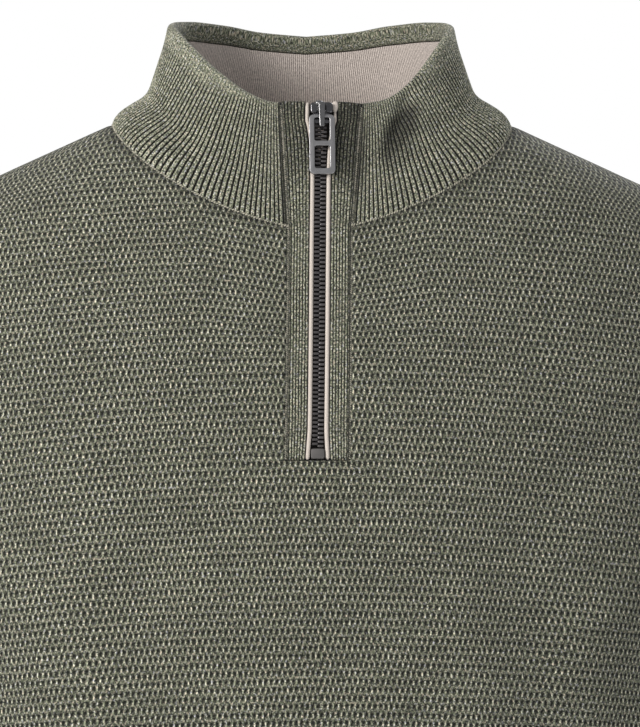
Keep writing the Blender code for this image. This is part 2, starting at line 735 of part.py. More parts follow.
def sweep(name, sections, finish):
    """A solid through closed sections of the same number of points, with a face on each end."""
    mesh = bmesh.new()
    verts = [[mesh.verts.new(point * MM) for point in section] for section in sections]
    for one, other in zip(verts[:-1], verts[1:]):
        for k in range(len(one)):
            n = (k + 1) % len(one)
            mesh.faces.new([one[k], one[n], other[n], other[k]])
    mesh.faces.new(verts[0])
    mesh.faces.new(verts[-1])
    return add_object(name, mesh, finish, smooth_angle=50)


def make_facing():
    """The jersey facing lies inside the collar, from its turned-over top to the neck seam."""
    face, inward = whole_collar(COLLAR_ALONG)
    face, inward = face[1 : FOLD_ROW + 1 or None], inward[1 : FOLD_ROW + 1 or None]
    face = draw_in(face, inward, rows=(-1,), columns=(0, -1), by=2 * SEAM_GAP)
    wall("collar_facing", face + inward * (KNIT + FACING_GAP), inward, FACING, "taupe_jersey")


def placket_outer(z):
    rise = np.clip((np.asarray(z, float) + NECK_DROP_FRONT) / (NECK_DROP_FRONT + RIM[0].z), 0, 1)
    return PLACKET_HALF + (PLACKET_HALF_TOP - PLACKET_HALF) * rise


def trim_inner(z):
    return smooth(z, TRIM_SPREAD, "half_gap")


def trim_outer(z):
    return trim_inner(z) + TRIM_WIDTH


def placket_inner(z):
    return trim_outer(z) + SEAM_GAP


def strip(side, inner, outer, shares, drop_top=0.0):
    """A grid up one side of the zip, over the body and then up the collar. inner and outer give
    the distances from the zip's middle at a height; shares are places between them."""
    heights = np.array([*PLACKET_HEIGHTS, *COLLAR_HEIGHTS, RIM[0].z - drop_top])
    grid, inward = [], []
    for share in shares:
        x = zip_middle(heights) + side * (inner(heights) + share * (outer(heights) - inner(heights)))
        points, into = centre_face(x, heights)
        grid.append(points)
        inward.append(into)
    return np.stack(grid, axis=1), np.stack(inward, axis=1)


def centre_face(x, z):
    """Points of the placket's face, and directions inwards, near the front centre. Up to the
    neck seam it is the body's face, and above it leans back to the rim."""
    x, z = np.broadcast_arrays(np.asarray(x, float), np.asarray(z, float))
    seam_z = neckline(x)
    low_z = np.minimum(z, seam_z)
    points = body_point(degrees_of(x, low_z), low_z)
    into = body_inward(degrees_of(x, low_z), low_z)
    top = rim_point(x=x)
    share = np.clip((z - seam_z) / (top[..., 2] - seam_z), 0, None)[..., None]
    above = points + (top - points) * share
    lean = unit(np.cross(top - points, rim_point(x=x + 1) - rim_point(x=x - 1)))
    lean = lean * np.where(lean[..., 1:2] < 0, -1, 1)
    is_above = (z > seam_z)[..., None]
    is_seam = (np.abs(z - seam_z) < SEAM_BLEND)[..., None]
    into = np.where(is_seam, unit(into + lean), np.where(is_above, lean, into))
    return np.where(is_above, above, points), into


def make_placket(side, label):
    shares = np.linspace(0, 1, PLACKET_COLUMNS + 1)
    grid, inward = strip(side, placket_inner, placket_outer, shares)
    wall("placket_" + label, grid, inward, KNIT, "green_rib")


def make_zip_cloth(side, label):
    """One tape behind the placket, and the cream trim beside the teeth."""
    grid, inward = strip(side, trim_inner, trim_outer, (0, 1), drop_top=0.4)
    front, back = TRIM_DEPTHS
    wall("zip_trim_" + label, grid + inward * front, inward, back - front, "cream_trim")

    def tape_inner(z):
        return np.where(np.asarray(z) > -20, SLIDER_POST[0] / 2 + SEAM_GAP, SEAM_GAP)

    def tape_outer(z):
        return TAPE_HALF + 0 * np.asarray(z, float)

    grid, inward = strip(side, tape_inner, tape_outer, (0, 1), drop_top=1.0)
    wall("zip_tape_" + label, grid + inward * TAPE_DEPTH, inward, TAPE, "dark_tape")


def make_chain(top_z):
    """The closed rows of teeth, as one bar from above the stop to the slider's post."""
    bottom = ZIP_BOTTOM_Z + STOP_SIZE[1] + 2 * SEAM_GAP
    heights = np.concatenate([[bottom], PLACKET_HEIGHTS[1:], [-NECK_DROP_FRONT, -30.0, top_z]])
    sides = (-CHAIN_HALF, CHAIN_HALF)
    columns = [centre_face(zip_middle(heights) + half, heights) for half in sides]
    grid = np.stack([points for points, _ in columns], axis=1)
    inward = np.stack([into for _, into in columns], axis=1)
    front, back = CHAIN_DEPTHS
    wall("zip_chain", grid + inward * front, inward, back - front, "dark_teeth")


# Zip hardware, in a frame that lies on the placket: x to the wearer's right, y down the zip and
# z straight out


def zip_frame(z):
    """The frame at a height on the zip's middle."""
    point, into = centre_face(zip_middle(z), z)
    out = Vector((0, -into[1], -into[2]))
    out.normalize()
    down = Vector((1, 0, 0)).cross(out)
    down.normalize()
    across = down.cross(out)
    turn = Matrix((across, down, out)).transposed().to_4x4()
    return Matrix.Translation(Vector(point) * MM) @ turn


def box(mesh, across, along, out):
    """Adds a box to a bmesh between the limits given on each of its three axes, in mm."""
    size = [high - low for low, high in (across, along, out)]
    middle = [(high + low) / 2 * MM for low, high in (across, along, out)]
    shape = Matrix.Translation(middle) @ Matrix.Diagonal((*[side * MM for side in size], 1))
    return bmesh.ops.create_cube(mesh, size=1, matrix=shape)["verts"]


def make_stop():
    width, height, depth = STOP_SIZE
    mesh = bmesh.new()
    out = (STOP_PROUD - depth, STOP_PROUD)
    box(mesh, (-width / 2, width / 2), (-height / 2, height / 2), out)
    bmesh.ops.bevel(mesh, geom=mesh.edges[:], offset=STOP_BEVEL * MM, segments=1, affect="EDGES")
    mesh.transform(zip_frame(ZIP_BOTTOM_Z + height / 2 + SEAM_GAP))
    return add_object("zip_stop", mesh, "dark_teeth")


def plate(mesh, low, high):
    """A slider plate, wide at its top and narrow below, between two heights off the placket."""
    outline = (
        (-SLIDER_HALF_TOP + 1.2, 0),
        (SLIDER_HALF_TOP - 1.2, 0),
        (SLIDER_HALF_TOP, 1.2),
        (SLIDER_HALF_TOP, 4.5),
        (SLIDER_HALF_BOTTOM, 8.5),
        (SLIDER_HALF_BOTTOM, SLIDER_LENGTH - 0.6),
        (SLIDER_HALF_BOTTOM - 0.8, SLIDER_LENGTH),
        (-SLIDER_HALF_BOTTOM + 0.8, SLIDER_LENGTH),
        (-SLIDER_HALF_BOTTOM, SLIDER_LENGTH - 0.6),
        (-SLIDER_HALF_BOTTOM, 8.5),
        (-SLIDER_HALF_TOP, 4.5),
        (-SLIDER_HALF_TOP, 1.2),
    )
    rings = [[mesh.verts.new((x * MM, y * MM, z * MM)) for x, y in outline] for z in (low, high)]
    mesh.faces.new(rings[0])
    mesh.faces.new(rings[1])
    for k in range(len(outline)):
        n = (k + 1) % len(outline)
        mesh.faces.new([rings[0][k], rings[0][n], rings[1][n], rings[1][k]])


def helper(name, fill, frame):
    """An unrendered solid for a Boolean, filled by a function of its bmesh."""
    mesh = bmesh.new()
    fill(mesh)
    made = add_object(name, mesh, "gunmetal")
    made.matrix_world = frame
    made.hide_render = True
    made.display_type = "WIRE"
    return made


def combine(target, other, operation):
    step = target.modifiers.new(other.name, "BOOLEAN")
    step.operation = operation
    step.object = other
    step.solver = "EXACT"


def slider_levels():
    """Heights off the placket's face of the slider's front plate and back plate."""
    front_low = -CHAIN_DEPTHS[0] + SEAM_GAP
    back_high = -(TAPE_DEPTH + TAPE + SEAM_GAP + SLIDER_BACK_CLEAR)
    return front_low, front_low + SLIDER_PLATE, back_high - SLIDER_PLATE, back_high


def make_slider(frame):
    """Front and back plates joined by a post, with the bridge that holds the pull."""
    low, high, back_low, back_high = slider_levels()
    start, end = BRIDGE_FROM_TOP
    top = high + BRIDGE_CLEAR
    overlap = 0.4
    mesh = bmesh.new()
    plate(mesh, low, high)
    slider = add_object("zip_slider", mesh, "gunmetal")
    slider.matrix_world = frame
    back = helper("slider_back", lambda m: plate(m, back_low, back_high), frame)
    combine(slider, back, "UNION")
    post = SLIDER_POST[0] / 2
    half = BRIDGE_WIDTH / 2
    post_y = (SLIDER_POST_FROM_TOP, SLIDER_POST_FROM_TOP + SLIDER_POST[1])
    boxes = (  # limits across, along and out
        ("slider_post", (-post, post), post_y, (back_high - overlap, low + overlap)),
        ("bridge_head", (-half, half), (start, start + BRIDGE_FOOT), (high - overlap, top + overlap)),
        ("bridge_foot", (-half, half), (end - BRIDGE_FOOT, end), (high - overlap, top + overlap)),
        ("bridge_top", (-half, half), (start, end), (top, top + BRIDGE_THICKNESS)),
    )
    for name, *limits in boxes:
        piece = helper(name, lambda m, limits=limits: box(m, *limits), frame)
        combine(slider, piece, "UNION")
    return slider


def make_pull(frame):
    """The pull tab turns on its bar, so its origin is on the bar's axis."""
    high = slider_levels()[1]
    axis = frame @ Matrix.Translation(Vector((0, HINGE_FROM_TOP, high + HINGE_OUT)) * MM)
    hang = axis @ Matrix.Rotation(math.radians(-PULL_TIP_IN_DEGREES), 4, "X")
    half = PULL_THICKNESS / 2
    start = -PULL_BAR / 2
    mesh = bmesh.new()
    rounded_slab(mesh, PULL_WIDTH / 2, (start, start + PULL_LENGTH), half, PULL_CORNER)
    pull = add_object("zip_pull", mesh, "gunmetal")
    pull.matrix_world = hang
    inside = PULL_WIDTH / 2 - PULL_SIDE
    windows = (("upper_window", PULL_UPPER_WINDOW), ("lower_window", PULL_LOWER_WINDOW))
    for name, (top, length) in windows:
        along = (start + top, start + top + length)

        def fill(m, along=along):
            rounded_slab(m, inside, along, 2 * half, PULL_WINDOW_CORNER)

        combine(pull, helper(name, fill, hang), "DIFFERENCE")
    return pull


def rounded_slab(mesh, half_width, along, half_thickness, corner):
    """Adds a slab in the pull's plane with its four corners rounded."""
    thickness = (-half_thickness, half_thickness)
    box(mesh, (-half_width, half_width), along, thickness)
    upright = half_thickness * MM
    edges = [e for e in mesh.edges if abs(e.verts[0].co.z - e.verts[1].co.z) > upright]
    bmesh.ops.bevel(mesh, geom=edges, offset=corner * MM, segments=3, affect="EDGES", profile=0.5)


def make_zip():
    top_z = RIM[0].z - SLIDER_TOP_GAP
    frame = zip_frame(top_z)
    for side, label in ((1, "left"), (-1, "right")):
        make_placket(side, label)
        make_zip_cloth(side, label)
    make_chain(top_z - SLIDER_POST_FROM_TOP - SLIDER_POST[1] - 2 * SEAM_GAP)
    make_stop()
    make_slider(frame)
    make_pull(frame)


def clear_scene():
    for item in list(bpy.data.objects):
        bpy.data.objects.remove(item, do_unlink=True)


def main():
    clear_scene()
    sleeve, sleeve_in, cuff, cuff_in = sleeve_grids()
    make_sleeves(sleeve, sleeve_in, cuff, cuff_in)
    make_panels(sleeve_in[0], neck_directions())
    make_collar()
    make_facing()
    make_zip()


main()
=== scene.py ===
"""The looks of a quarter zip sweater, worn and hollow: knitted cloth, ribbed bands, and its zip.

Sizes are millimetres until a mesh is made. The garment faces -Y, +X is the wearer's left, +Z is
up, and the origin is the middle of the neck.
"""

import math
from collections import namedtuple

import bmesh
import bpy
import numpy as np
from mathutils import Matrix, Vector


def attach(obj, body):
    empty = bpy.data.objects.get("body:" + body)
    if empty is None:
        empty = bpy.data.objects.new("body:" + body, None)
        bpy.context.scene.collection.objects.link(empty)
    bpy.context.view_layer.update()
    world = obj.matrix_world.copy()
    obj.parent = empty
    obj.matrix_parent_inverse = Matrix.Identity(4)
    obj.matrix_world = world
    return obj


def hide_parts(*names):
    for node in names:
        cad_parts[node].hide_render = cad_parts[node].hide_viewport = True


bl_info = {
    "name": "Quarter zip sweater",
    "version": (1, 0, 0),
    "blender": (4, 5, 0),
    "location": "View3D > Sidebar > Sweater",
    "description": "Models the cloth, ribs and zip of a quarter zip sweater",
    "category": "Mesh",
}

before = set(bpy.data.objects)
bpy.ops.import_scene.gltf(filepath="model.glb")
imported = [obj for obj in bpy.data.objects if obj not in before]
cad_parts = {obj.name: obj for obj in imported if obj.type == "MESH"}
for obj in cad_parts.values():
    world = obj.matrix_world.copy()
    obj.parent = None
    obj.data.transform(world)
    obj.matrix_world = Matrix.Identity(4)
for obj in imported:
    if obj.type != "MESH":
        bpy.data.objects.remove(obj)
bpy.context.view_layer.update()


def table(kind, *rows):
    """Rows of one kind, each given by its values."""
    return tuple(kind(*row) for row in rows)


MM = 0.001
SEAM_GAP = 0.3  # between neighbouring pieces
SEWN_GAP = 0.04  # between two pieces that a seam joins
SIDES = ((1, "left"), (-1, "right"))  # of the wearer
FACES = (("front", False), ("back", True))

# Cloth
KNIT = 2.5
FACING = 2.0
FACING_GAP = 0.6
TAPE = 0.9
SEAM_LINES = (0.35, 0.9, 1.7)  # grid lines beside a seam, measured from it
SEAM_CLEAR = 2.4  # the even grid lines keep this far from a seam
LINE_ROOM = 1.4  # least room for a seam's lines, as a multiple of the furthest
INWARD_REACH = 12.0  # a seam's shared direction fades out over this distance
CLOTH_SHARP_DEGREES, METAL_SHARP_DEGREES, TOOTH_SHARP_DEGREES = 50, 35, 40

# How far from an edge the cloth's face starts to roll down, and how far down it goes
SEAM_ROLL = (1.7, 1.3)
RIB_SEAM_ROLL = (1.2, 0.6)  # where the body knit runs on into a rib band
FREE_ROLL = (1.3, 1.1)
PANEL_ROLL = (1.9, 1.7)  # of the front beside the placket
PLACKET_OUTER_ROLL, PLACKET_INNER_ROLL = (1.9, 1.8), (0.9, 0.7)
PLACKET_TOP_ROLL = (1.3, 1.2)
COLLAR_END_ROLL = (2.0, 1.8)

# Neck and collar
NECK_HALF_WIDTH = 100.0
NECK_DROP_FRONT = 55.0
NECK_DROP_BACK = 16.0
NECK_POWER_FRONT = 1.5
NECK_POWER_BACK = 2.2
RIM_HALF_WIDTH = 71.7
RIM_FRONT = 62.0
RIM_BACK = 66.0
RIM_THICKNESS = 5.2
RIM_ALONG = 0.96  # the collar's face ends here and its rounded top begins
FOLD_ALONG = 0.87  # level of the lower edge of the turned-over top
FOLD_CLEAR, FACING_CLEAR = 0.008, 0.01  # below that edge, of the knit under it and the facing

# Armholes and seams
SHOULDER_Z = -66.0
UNDERARM_Z = -235.0
ARMHOLE_FRONT_DEGREES = 36.0
ARMHOLE_BACK_DEGREES = 30.0
HEM_SEAM_Z = -615.0
HEM_Z = -680.0

# Zip and placket
ZIP_BOTTOM_Z = -166.0
ZIP_LEAN = 0.024
ZIP_PLUMB_Z = -100.0
PLACKET_HALF = 15.3
PLACKET_HALF_TOP = 20.0
TRIM_WIDTH = 2.0
CHAIN_HALF = 2.75
CHAIN_DEPTHS = (0.6, 2.5)
TAPE_DEPTH = 2.8
TAPE_HALF = 9.5
TAPE_SHORT = 1.0  # under the collar's top
TAPE_SLIDER_Z = -20  # above it the tapes leave room for the slider's post
STOP_SIZE = (6.5, 4.9, 2.6)
STOP_PROUD = 0.2
SLIDER_TOP_GAP = 0.8
SLIDER_START, SLIDER_LENGTH = 0.4, 11.5
SLIDER_PLATE, PLATE_HALF = 1.2, 3.9
SLIDER_BACK_CLEAR, SLIDER_BACK_HALF, SLIDER_BACK_SHORT = 0.4, 5.4, 0.6
SLIDER_POST = (2.2, 3.0)
SLIDER_POST_FROM_TOP = 0.6
SHOULDER_ACROSS, SHOULDER_FROM_TOP, SHOULDER_PROUD = (1.5, 5.6), (0.5, 6.4), 0.8
BRIDGE_HALF, BRIDGE_FROM_TOP, BRIDGE_PROUD = 1.7, (2.6, 12.6), 4.1
BRIDGE_FEET = (0.8, 1.5)  # how far its ends run on over the plate
BRIDGE_WALL, BRIDGE_ROOM = 2.2, 3.0  # beside and over the pull's bar
CROWN_PLACE, CROWN_SIZE = (1.2, 1.3, 0.4), (2.4, 1.5, 1.9)  # the place is over the plate
JOINED = 0.4  # how far two parts of one casting run into each other
PULL_WIDTH = 12.7
PULL_LENGTH = 30.6
PULL_THICKNESS = 1.5
PULL_BAR = 1.5
PULL_TIP_IN_DEGREES = 2.0
HINGE_FROM_TOP = 8.4
HINGE_OUT = 1.55
TOOTH_PITCH = 2.07
TOOTH_HALF, TOOTH_FOOT, TOOTH_NOSE = 0.62, 0.55, 0.75
TOOTH_TAPER = (1, 0.62, 0.7)
TOOTH_BEVEL = 0.16

# How a sleeve leaves its armhole, and how far the collar follows its roll
SLEEVE_SET = 0.45
SLEEVE_AWAY = (0.95, 0.0, -0.3)
SLEEVE_HEAD = (-24, 2, 75)
SLEEVE_BLEND_POWER = 0.8  # under 1, so that the rings stand closer away from the armhole
ROLL_LEAST = 0.12
ROLL_PEAK_DEGREES = 88.0
ROLL_SPREAD_DEGREES = 62.0
ROLL_POWER = 0.7

# Grids
NECK_COLUMNS, SHOULDER_COLUMNS = 40, 16
HALF_COLUMNS = NECK_COLUMNS + SHOULDER_COLUMNS
STRIP_COLUMNS = 12  # below the foot of the zip
SIDE_ROWS, ARM_ROWS = 48, 56
FOOT_ROW = SIDE_ROWS + 30
PANEL_DIP = 90.0
SLEEVE_BLEND_RINGS = 12
ARMHOLE_GIRTH = 400.0  # about, for the grid lines beside the underarm
RINGS_PER_SPAN = 10
COLLAR_LOW_ROWS = (0.0, 0.005, 0.013, 0.025)
COLLAR_ROWS, COLLAR_INNER_ROWS = 34, 32
COLLAR_EVEN_FROM = 0.05
FACING_COLUMNS, FACING_ROWS = 60, 24
TAPE_COLUMNS, TAPE_ROWS = 6, 90
TRIM_COLUMNS, TRIM_ROWS, TRIM_TOP_ROWS = 8, 90, 26
TRIM_FOOT = (0, 0.12, 0.35, 0.7, 1.1)
CURVE_STEPS, RIM_STEPS, SEAM_STEPS = 400, 300, 200  # of the curves that are measured
FRONT_RIBS, BACK_RIBS = 48, 36  # of half the collar
RIB_CROWDING = (0.52, 0.3)  # how much closer the ribs stand beside the placket and at the back
PLACKET_RIBS = 7
PLACKET_ROWS = 110
HEM_RIBS = 170  # of each half of the hem
HEM_ROWS = 18
CUFF_RIBS = 66
CUFF_ROWS = 22
SEAM_BLEND = 4.0
RIM_CAP_DEGREES = (22.5, 45, 67.5, 86, 94, 112.5, 135, 158)  # over the collar's top
FOLD_EDGE = (  # lower edge of the turned-over top: places over its level, and depths
    (-0.006, 3.4), (-0.004, 4.5), (0.001, 5.05), (0.015, 5.2), (0.04, 5.2), (0.065, 5.2),
)

# Ribs
RIB_PITCH = 2.6  # along the collar, half way up
RIB_LEAST = 0.15  # share of the ribs' height left at the collar's top
RIB_FADE, RIB_FADE_LATER = 0.36, 0.44  # where it starts to go, and how much later at the placket
RIB_FADE_PLACES = (0.08, 0.42)
RIB_CREEP = 0.13  # share of the front by which a rib's foot runs ahead, half way round it
COLLAR_RIB_LEVEL, PLACKET_RIB_LEVEL, BAND_RIB_LEVEL = 0.55, 0.6, 0.5  # height of the plain face
HEM_RIB_HEIGHT, CUFF_RIB_HEIGHT = 1.0, 0.9
PLACKET_PITCH = 1.43
TRIM_HALF_DEPTH, TRIM_MIDDLE_DEPTH = 1.15, 1.15
TRIM_ROUNDNESS, TRIM_EDGE = 1.1, 0.02

Relief = namedtuple("Relief", "z height")
PLACKET_RELIEF = table(
    Relief,
    (ZIP_BOTTOM_Z, 0.28), (-80, 0.34), (-30, 0.46), (10, 0.62),
)

# How dark the ribs' grooves are painted: 1 for plain ribs, and up to 2 where more painted shade
# goes, at the placket bands' tops, in the collar's creases and beside the seams
DARK_TOP = {1: 1.7, -1: 1.5}  # at the placket bands' tops, by side
DARK_TOP_Z = (-58, -16)
DARK_CREASE, DARK_EDGE = 1.9, 2
COLLAR_DARK_REACH, PLACKET_DARK_REACH = (0.9, 2.1), (0.7, 1.7)

Piping = namedtuple("Piping", "z width")
PIPING_FOOT = (
    (ZIP_BOTTOM_Z, 0.2), (ZIP_BOTTOM_Z + 0.5, 1.5), (ZIP_BOTTOM_Z + 1.6, 2.1), (-20, 2.1),
)
PIPING_LEFT = table(  # ends in a bulb
    Piping,
    *PIPING_FOOT, (0.6, 1.8), (3.4, 1.3), (4.6, 2.5), (6.5, 3.7), (8.3, 2.9), (9.15, 0.3),
)
PIPING_RIGHT = table(  # ends in a point
    Piping,
    *PIPING_FOOT, (5.6, 2.0), (7.4, 1.6), (8.6, 0.3),
)

RibPoint = namedtuple("RibPoint", "place height")
RIB = table(  # one rib across, from the middle of a groove to the next, as shares
    RibPoint,
    (0.00, 0.00), (0.13, 0.55), (0.30, 0.94), (0.50, 1.00), (0.70, 0.94), (0.87, 0.55),
)
FLAT_RIB = (RIB[0], RibPoint(0.22, 0.8), RibPoint(0.5, 1.0), RibPoint(0.78, 0.8))

Section = namedtuple("Section", "z half_width front back squareness")
BODY = table(
    Section,
    (HEM_Z, 200, 115, 107, 2.2), (HEM_SEAM_Z, 205, 121, 111, 2.2), (-520, 203, 124, 106, 2.2),
    (-420, 201, 126, 101, 2.2), (-320, 202, 128, 106, 2.25), (UNDERARM_Z, 206, 127, 113, 2.3),
    (-200, 214, 124, 116, 2.25), (-160, 221, 117.5, 116.5, 2.2), (-110, 225, 103, 111, 2.1),
    (-75, 220, 90, 103, 2.0), (-57, 209, 83.5, 97, 2.0), (-40, 186, 77, 89, 2.0),
    (-24, 152.6, 70, 80, 2.0), (-12, 126.3, 64.5, 71, 2.0), (0, 100, 60, 62, 2.0),
)

Ring = namedtuple("Ring", "x y z across deep")
SLEEVE = table(
    Ring,
    (264, -8, -255, 50, 71), (293, -12, -345, 48, 63), (320, -19, -438, 46, 55),
    (340, -30, -525, 44, 49), (350, -39, -577, 42, 45), (355, -44, -601, 35, 37),
)
CUFF = table(
    Ring,
    SLEEVE[-1], (357.5, -47, -616, 32, 34), (362, -53, -645, 31.5, 33.5), (366, -58, -670, 32, 34),
)

RimPoint = namedtuple("RimPoint", "degrees z")
RIM = table(
    RimPoint,
    (0, 9.2), (16, 9.2), (25, 12.5), (39, 22.5), (60, 38.0), (76, 46.5), (95, 51.5), (112, 53.9),
    (126, 54.8), (143, 53.8), (160, 50.7), (180, 48.6),
)

Roll = namedtuple("Roll", "along out up")
COLLAR_ROLL = table(
    Roll,
    (0.00, 1.000, 0.000), (0.09, 0.905, 0.087), (0.17, 0.785, 0.148), (0.26, 0.615, 0.208),
    (0.35, 0.440, 0.265), (0.42, 0.343, 0.325), (0.52, 0.265, 0.444), (0.63, 0.200, 0.564),
    (0.83, 0.075, 0.800), (1.00, 0.000, 1.000),
)
COLLAR_ALONG = (0.0, 0.09, 0.17, 0.26, 0.35, 0.45, 0.58, 0.74, FOLD_ALONG, RIM_ALONG)

Spread = namedtuple("Spread", "z half_gap")
TRIM_SPREAD = table(
    Spread,
    (ZIP_BOTTOM_Z, 3.9), (ZIP_BOTTOM_Z + 7, 3.5), (ZIP_BOTTOM_Z + 16, 3.05), (-30, 3.05),
    (-14, 3.6), (-4, 4.9), (0, 5.9), (10, 5.9),
)

Swell = namedtuple("Swell", "z out")
BLOUSE = table(  # the body stands out over its hem band
    Swell,
    (HEM_SEAM_Z, 0.0), (-606, 3.0), (-590, 4.6), (-565, 3.4), (-520, 0.0), (0, 0.0),
)
Wave = namedtuple("Wave", "count size start")
HEM_WAVES = (Wave(7, 1.0, 0.6), Wave(11, 0.7, 2.1), Wave(18, 0.5, 4.0))  # round the whole body
GATHER_HEIGHT, GATHER_Z, GATHER_UNDER = 1.1, (-540, -596), 20
CUFF_SWELL, CUFF_SWELL_REACH, CUFF_SWELL_START = 1.5, (34, 12), (1, 10)  # of the sleeve's end

# How the courses and wales of a panel run. Sides are distances round from its middle.
CHEST_ARCH, CHEST_ARCH_SIDE = 3.3e-4, 180
SHOULDER_SHARE, SHOULDER_SLOPE, SHOULDER_RISE = 0.93, 0.456, 0.326
SHOULDER_DEPTHS = (4, 32)  # over which the courses let go of the shoulder seam
SHOULDER_LEAN, LEAN_SIDES, LEAN_DEPTH, LEAN_STEP = 0.3, (60, 110), 40, 0.5
PLACKET_TURN, PLACKET_TURN_SIDE, PLACKET_TURN_Z = 0.22, 57, (-125, -72)
WIDER_WALES, WIDEST_SIDE, WIDER_REACH = 0.17, 92, 32
WIDER_OUTSIDE, OUTSIDE_SIDES = 0.06, (60, 120)
WALE_SIDE, WALE_STEP = 320, 2.0
CLOSER_COURSES, CLOSER_Z, CLOSER_REACH, CLOSER_POWER = 9.35, -187, 123, 2.5

# A soft ridge, or a trough where height is negative, along a line on the cloth. Places on a body
# panel are distances round from its middle and heights. Places on a sleeve are distances round
# from the top of the arm, towards the front, and distances down from the armhole.
Fold = namedtuple("Fold", "x y to_x to_y width height")
FRONT_FOLDS = table(
    Fold,
    (-24, -182, -27, -330, 23, 1.8), (-47, -330, -60, -520, 24, 2.2),
    (2, -255, -2, -420, 12, -0.8), (12, -230, 20, -400, 26, 1.0),
    (-78, -190, -96, -300, 20, -1.4), (70, -205, 84, -360, 24, 1.3),
    (104, -235, 118, -420, 20, -1.5), (150, -150, 96, -205, 15, -2.0),
    (186, -205, 118, -270, 17, 2.6), (200, -232, 132, -330, 15, -2.2),
    (-190, -205, -128, -262, 16, 2.4), (-206, -238, -140, -318, 14, -2.3),
    (-120, -420, -86, -600, 20, 2.0), (-178, -380, -160, -590, 24, -2.0),
    (40, -430, 62, -600, 22, 2.1), (128, -440, 110, -600, 18, -1.8),
    (190, -400, 170, -590, 22, 2.2), (6, -500, 2, -600, 16, -1.2),
)
BACK_FOLDS = table(
    Fold,
    (0, -60, 0, -170, 30, -1.2), (60, -120, 52, -330, 26, 2.2), (-66, -150, -50, -360, 24, 2.4),
    (14, -260, 22, -470, 20, -1.9), (170, -190, 92, -262, 18, -2.6),
    (196, -232, 110, -340, 18, 2.8), (-182, -205, -104, -280, 18, 2.6),
    (-200, -240, -120, -352, 16, -2.4), (120, -300, 138, -480, 26, -2.2),
    (-140, -330, -122, -520, 26, 2.2), (-24, -420, -40, -600, 22, 2.4),
    (74, -440, 64, -600, 20, 2.2), (-96, -500, -104, -604, 16, -1.8),
    (160, -500, 168, -604, 18, 2.0),
)
SLEEVE_FOLDS = table(
    Fold,
    (40, 70, 130, 128, 15, 2.2), (96, 96, 168, 148, 12, -2.2), (-50, 84, -150, 140, 16, 2.0),
    (20, 176, 128, 206, 13, -2.4), (52, 204, 160, 226, 13, 3.0), (30, 234, 140, 246, 12, -2.6),
    (66, 262, 150, 272, 14, 2.4), (-40, 214, -140, 240, 17, 2.2), (-30, 262, -120, 276, 15, -1.8),
    (10, 120, 6, 330, 26, 1.4), (-70, 318, 40, 330, 13, -1.8), (-10, 344, 110, 338, 11, 2.6),
    (-120, 350, -20, 356, 12, 2.2), (60, 366, 130, 362, 9, -1.9), (-90, 376, 60, 380, 9, 2.0),
)
COLLAR_FOLDS = table(  # places are x and z, on the front half
    Fold,
    (46, 17, 34.5, -18, 4.0, -2.5), (41, 18, 29, -14, 4.5, 1.3), (54, 20, 44, -14, 6.0, 0.9),
    (-62, 30, -38, -8, 12.0, 0.7), (-28, 6, -24, -22, 5.0, -0.5),
)
COLLAR_CREASE = table(  # painted shade on the ribs in the collar's folds
    Fold,
    (49, 16, 36, -20, 7.5, 1.0), (21, 4, 19, -34, 5.5, 0.8),
)
SAG = (42.0, 17.0, -5.0)  # of the rim on the wearer's left: place, width and height
SAG_Z = (-12, 18)
FOLD_ENDS = 0.55  # share of a fold's height at its two ends
PANEL_DRAPE, SLEEVE_DRAPE = 1.3, 1.7  # how much deeper the folds lie than their tables say
SEAM_CALM, HEM_CALM, PLACKET_CALM = 32, 14, 14  # the folds fade out over this distance
SLEEVE_HEAD_CALM, CUFF_CALM, UNDERARM_CALM = 36, (1, 26), 0.1
SEAM_SHADE_REACH = (6.5, 0.5)  # painted shade on the knit within this distance of the neck and shoulder seams

# Stitches of the two linking seams, and where the placket's line of them starts and ends
Stitch = namedtuple("Stitch", "pitch length radius lean depth")
NECK_STITCH = Stitch(1.4, 1.5, 0.42, 34, 0.34)
PLACKET_STITCH = Stitch(1.07, 1.3, 0.26, 48, 0.8)
STITCH_ENDS, STITCH_STEPS = (0.6, 2.5), 160

# Knit and windows
EYELET_HALF_WIDTH = 0.28  # of a wale
EYELET_HALF_HEIGHT = 0.165  # of two courses
EYELET_LEAN = 0.2
# share of the painted shade that fills the eyelets
EYELET_DARK = 0.93
STRAND_HALF_WIDTH = 0.17  # of a wale
STRAND_HALF_HEIGHT = 0.17  # of two courses
PULL_WINDOWS = ((1.5, 12.0, 2.6), (16.0, 11.6, 2.6))  # start, length and side bar

# Fixed colours and finishes
# colour of the painted shade inside the eyelets
EYELET_SHADE = (0.006, 0.007, 0.006, 1)
WARM_FIBRE, COOL_FIBRE = (0.62, 0.53, 0.41, 1), (0.48, 0.47, 0.50, 1)
STITCH_MIDDLE, STITCH_DARK = (0.40, 0.37, 0.30, 1), (0.07, 0.07, 0.06, 1)
TAPE_COLOUR = (0.030, 0.027, 0.024)
FLOOR_COLOURS = ((0.78, 0.78, 0.78, 1), (0.82, 0.82, 0.81, 1))
TAPE_THREAD, TRIM_THREAD = 0.5, 0.42
JERSEY_WALE, JERSEY_COURSE = 1.2, 1.05
RIB_STITCH = 1.15  # length of one stitch along a rib
PATCH_SIZE = 260.0  # of the dull patches on metal
Metal = namedtuple("Metal", "colour dull smooth rough metallic")
METALS = {
    "dark_teeth": Metal((0.11, 0.102, 0.104), (0.05, 0.045, 0.042), 0.34, 0.6, 0.7),
    "matte_stop": Metal((0.11, 0.102, 0.098), (0.08, 0.075, 0.072), 0.5, 0.7, 0.35),
    "slider_metal": Metal((0.135, 0.132, 0.138), (0.075, 0.075, 0.078), 0.12, 0.24, 0.95),
    # a lighter copy of the slider's metal, painted light on the bridge and crown
    "bridge_metal": Metal((0.2, 0.197, 0.2), (0.12, 0.12, 0.12), 0.14, 0.26, 0.9),
    "pull_metal": Metal(None, (0.25, 0.246, 0.25), 0.27, 0.45, 0.85),  # its colour is a setting
}

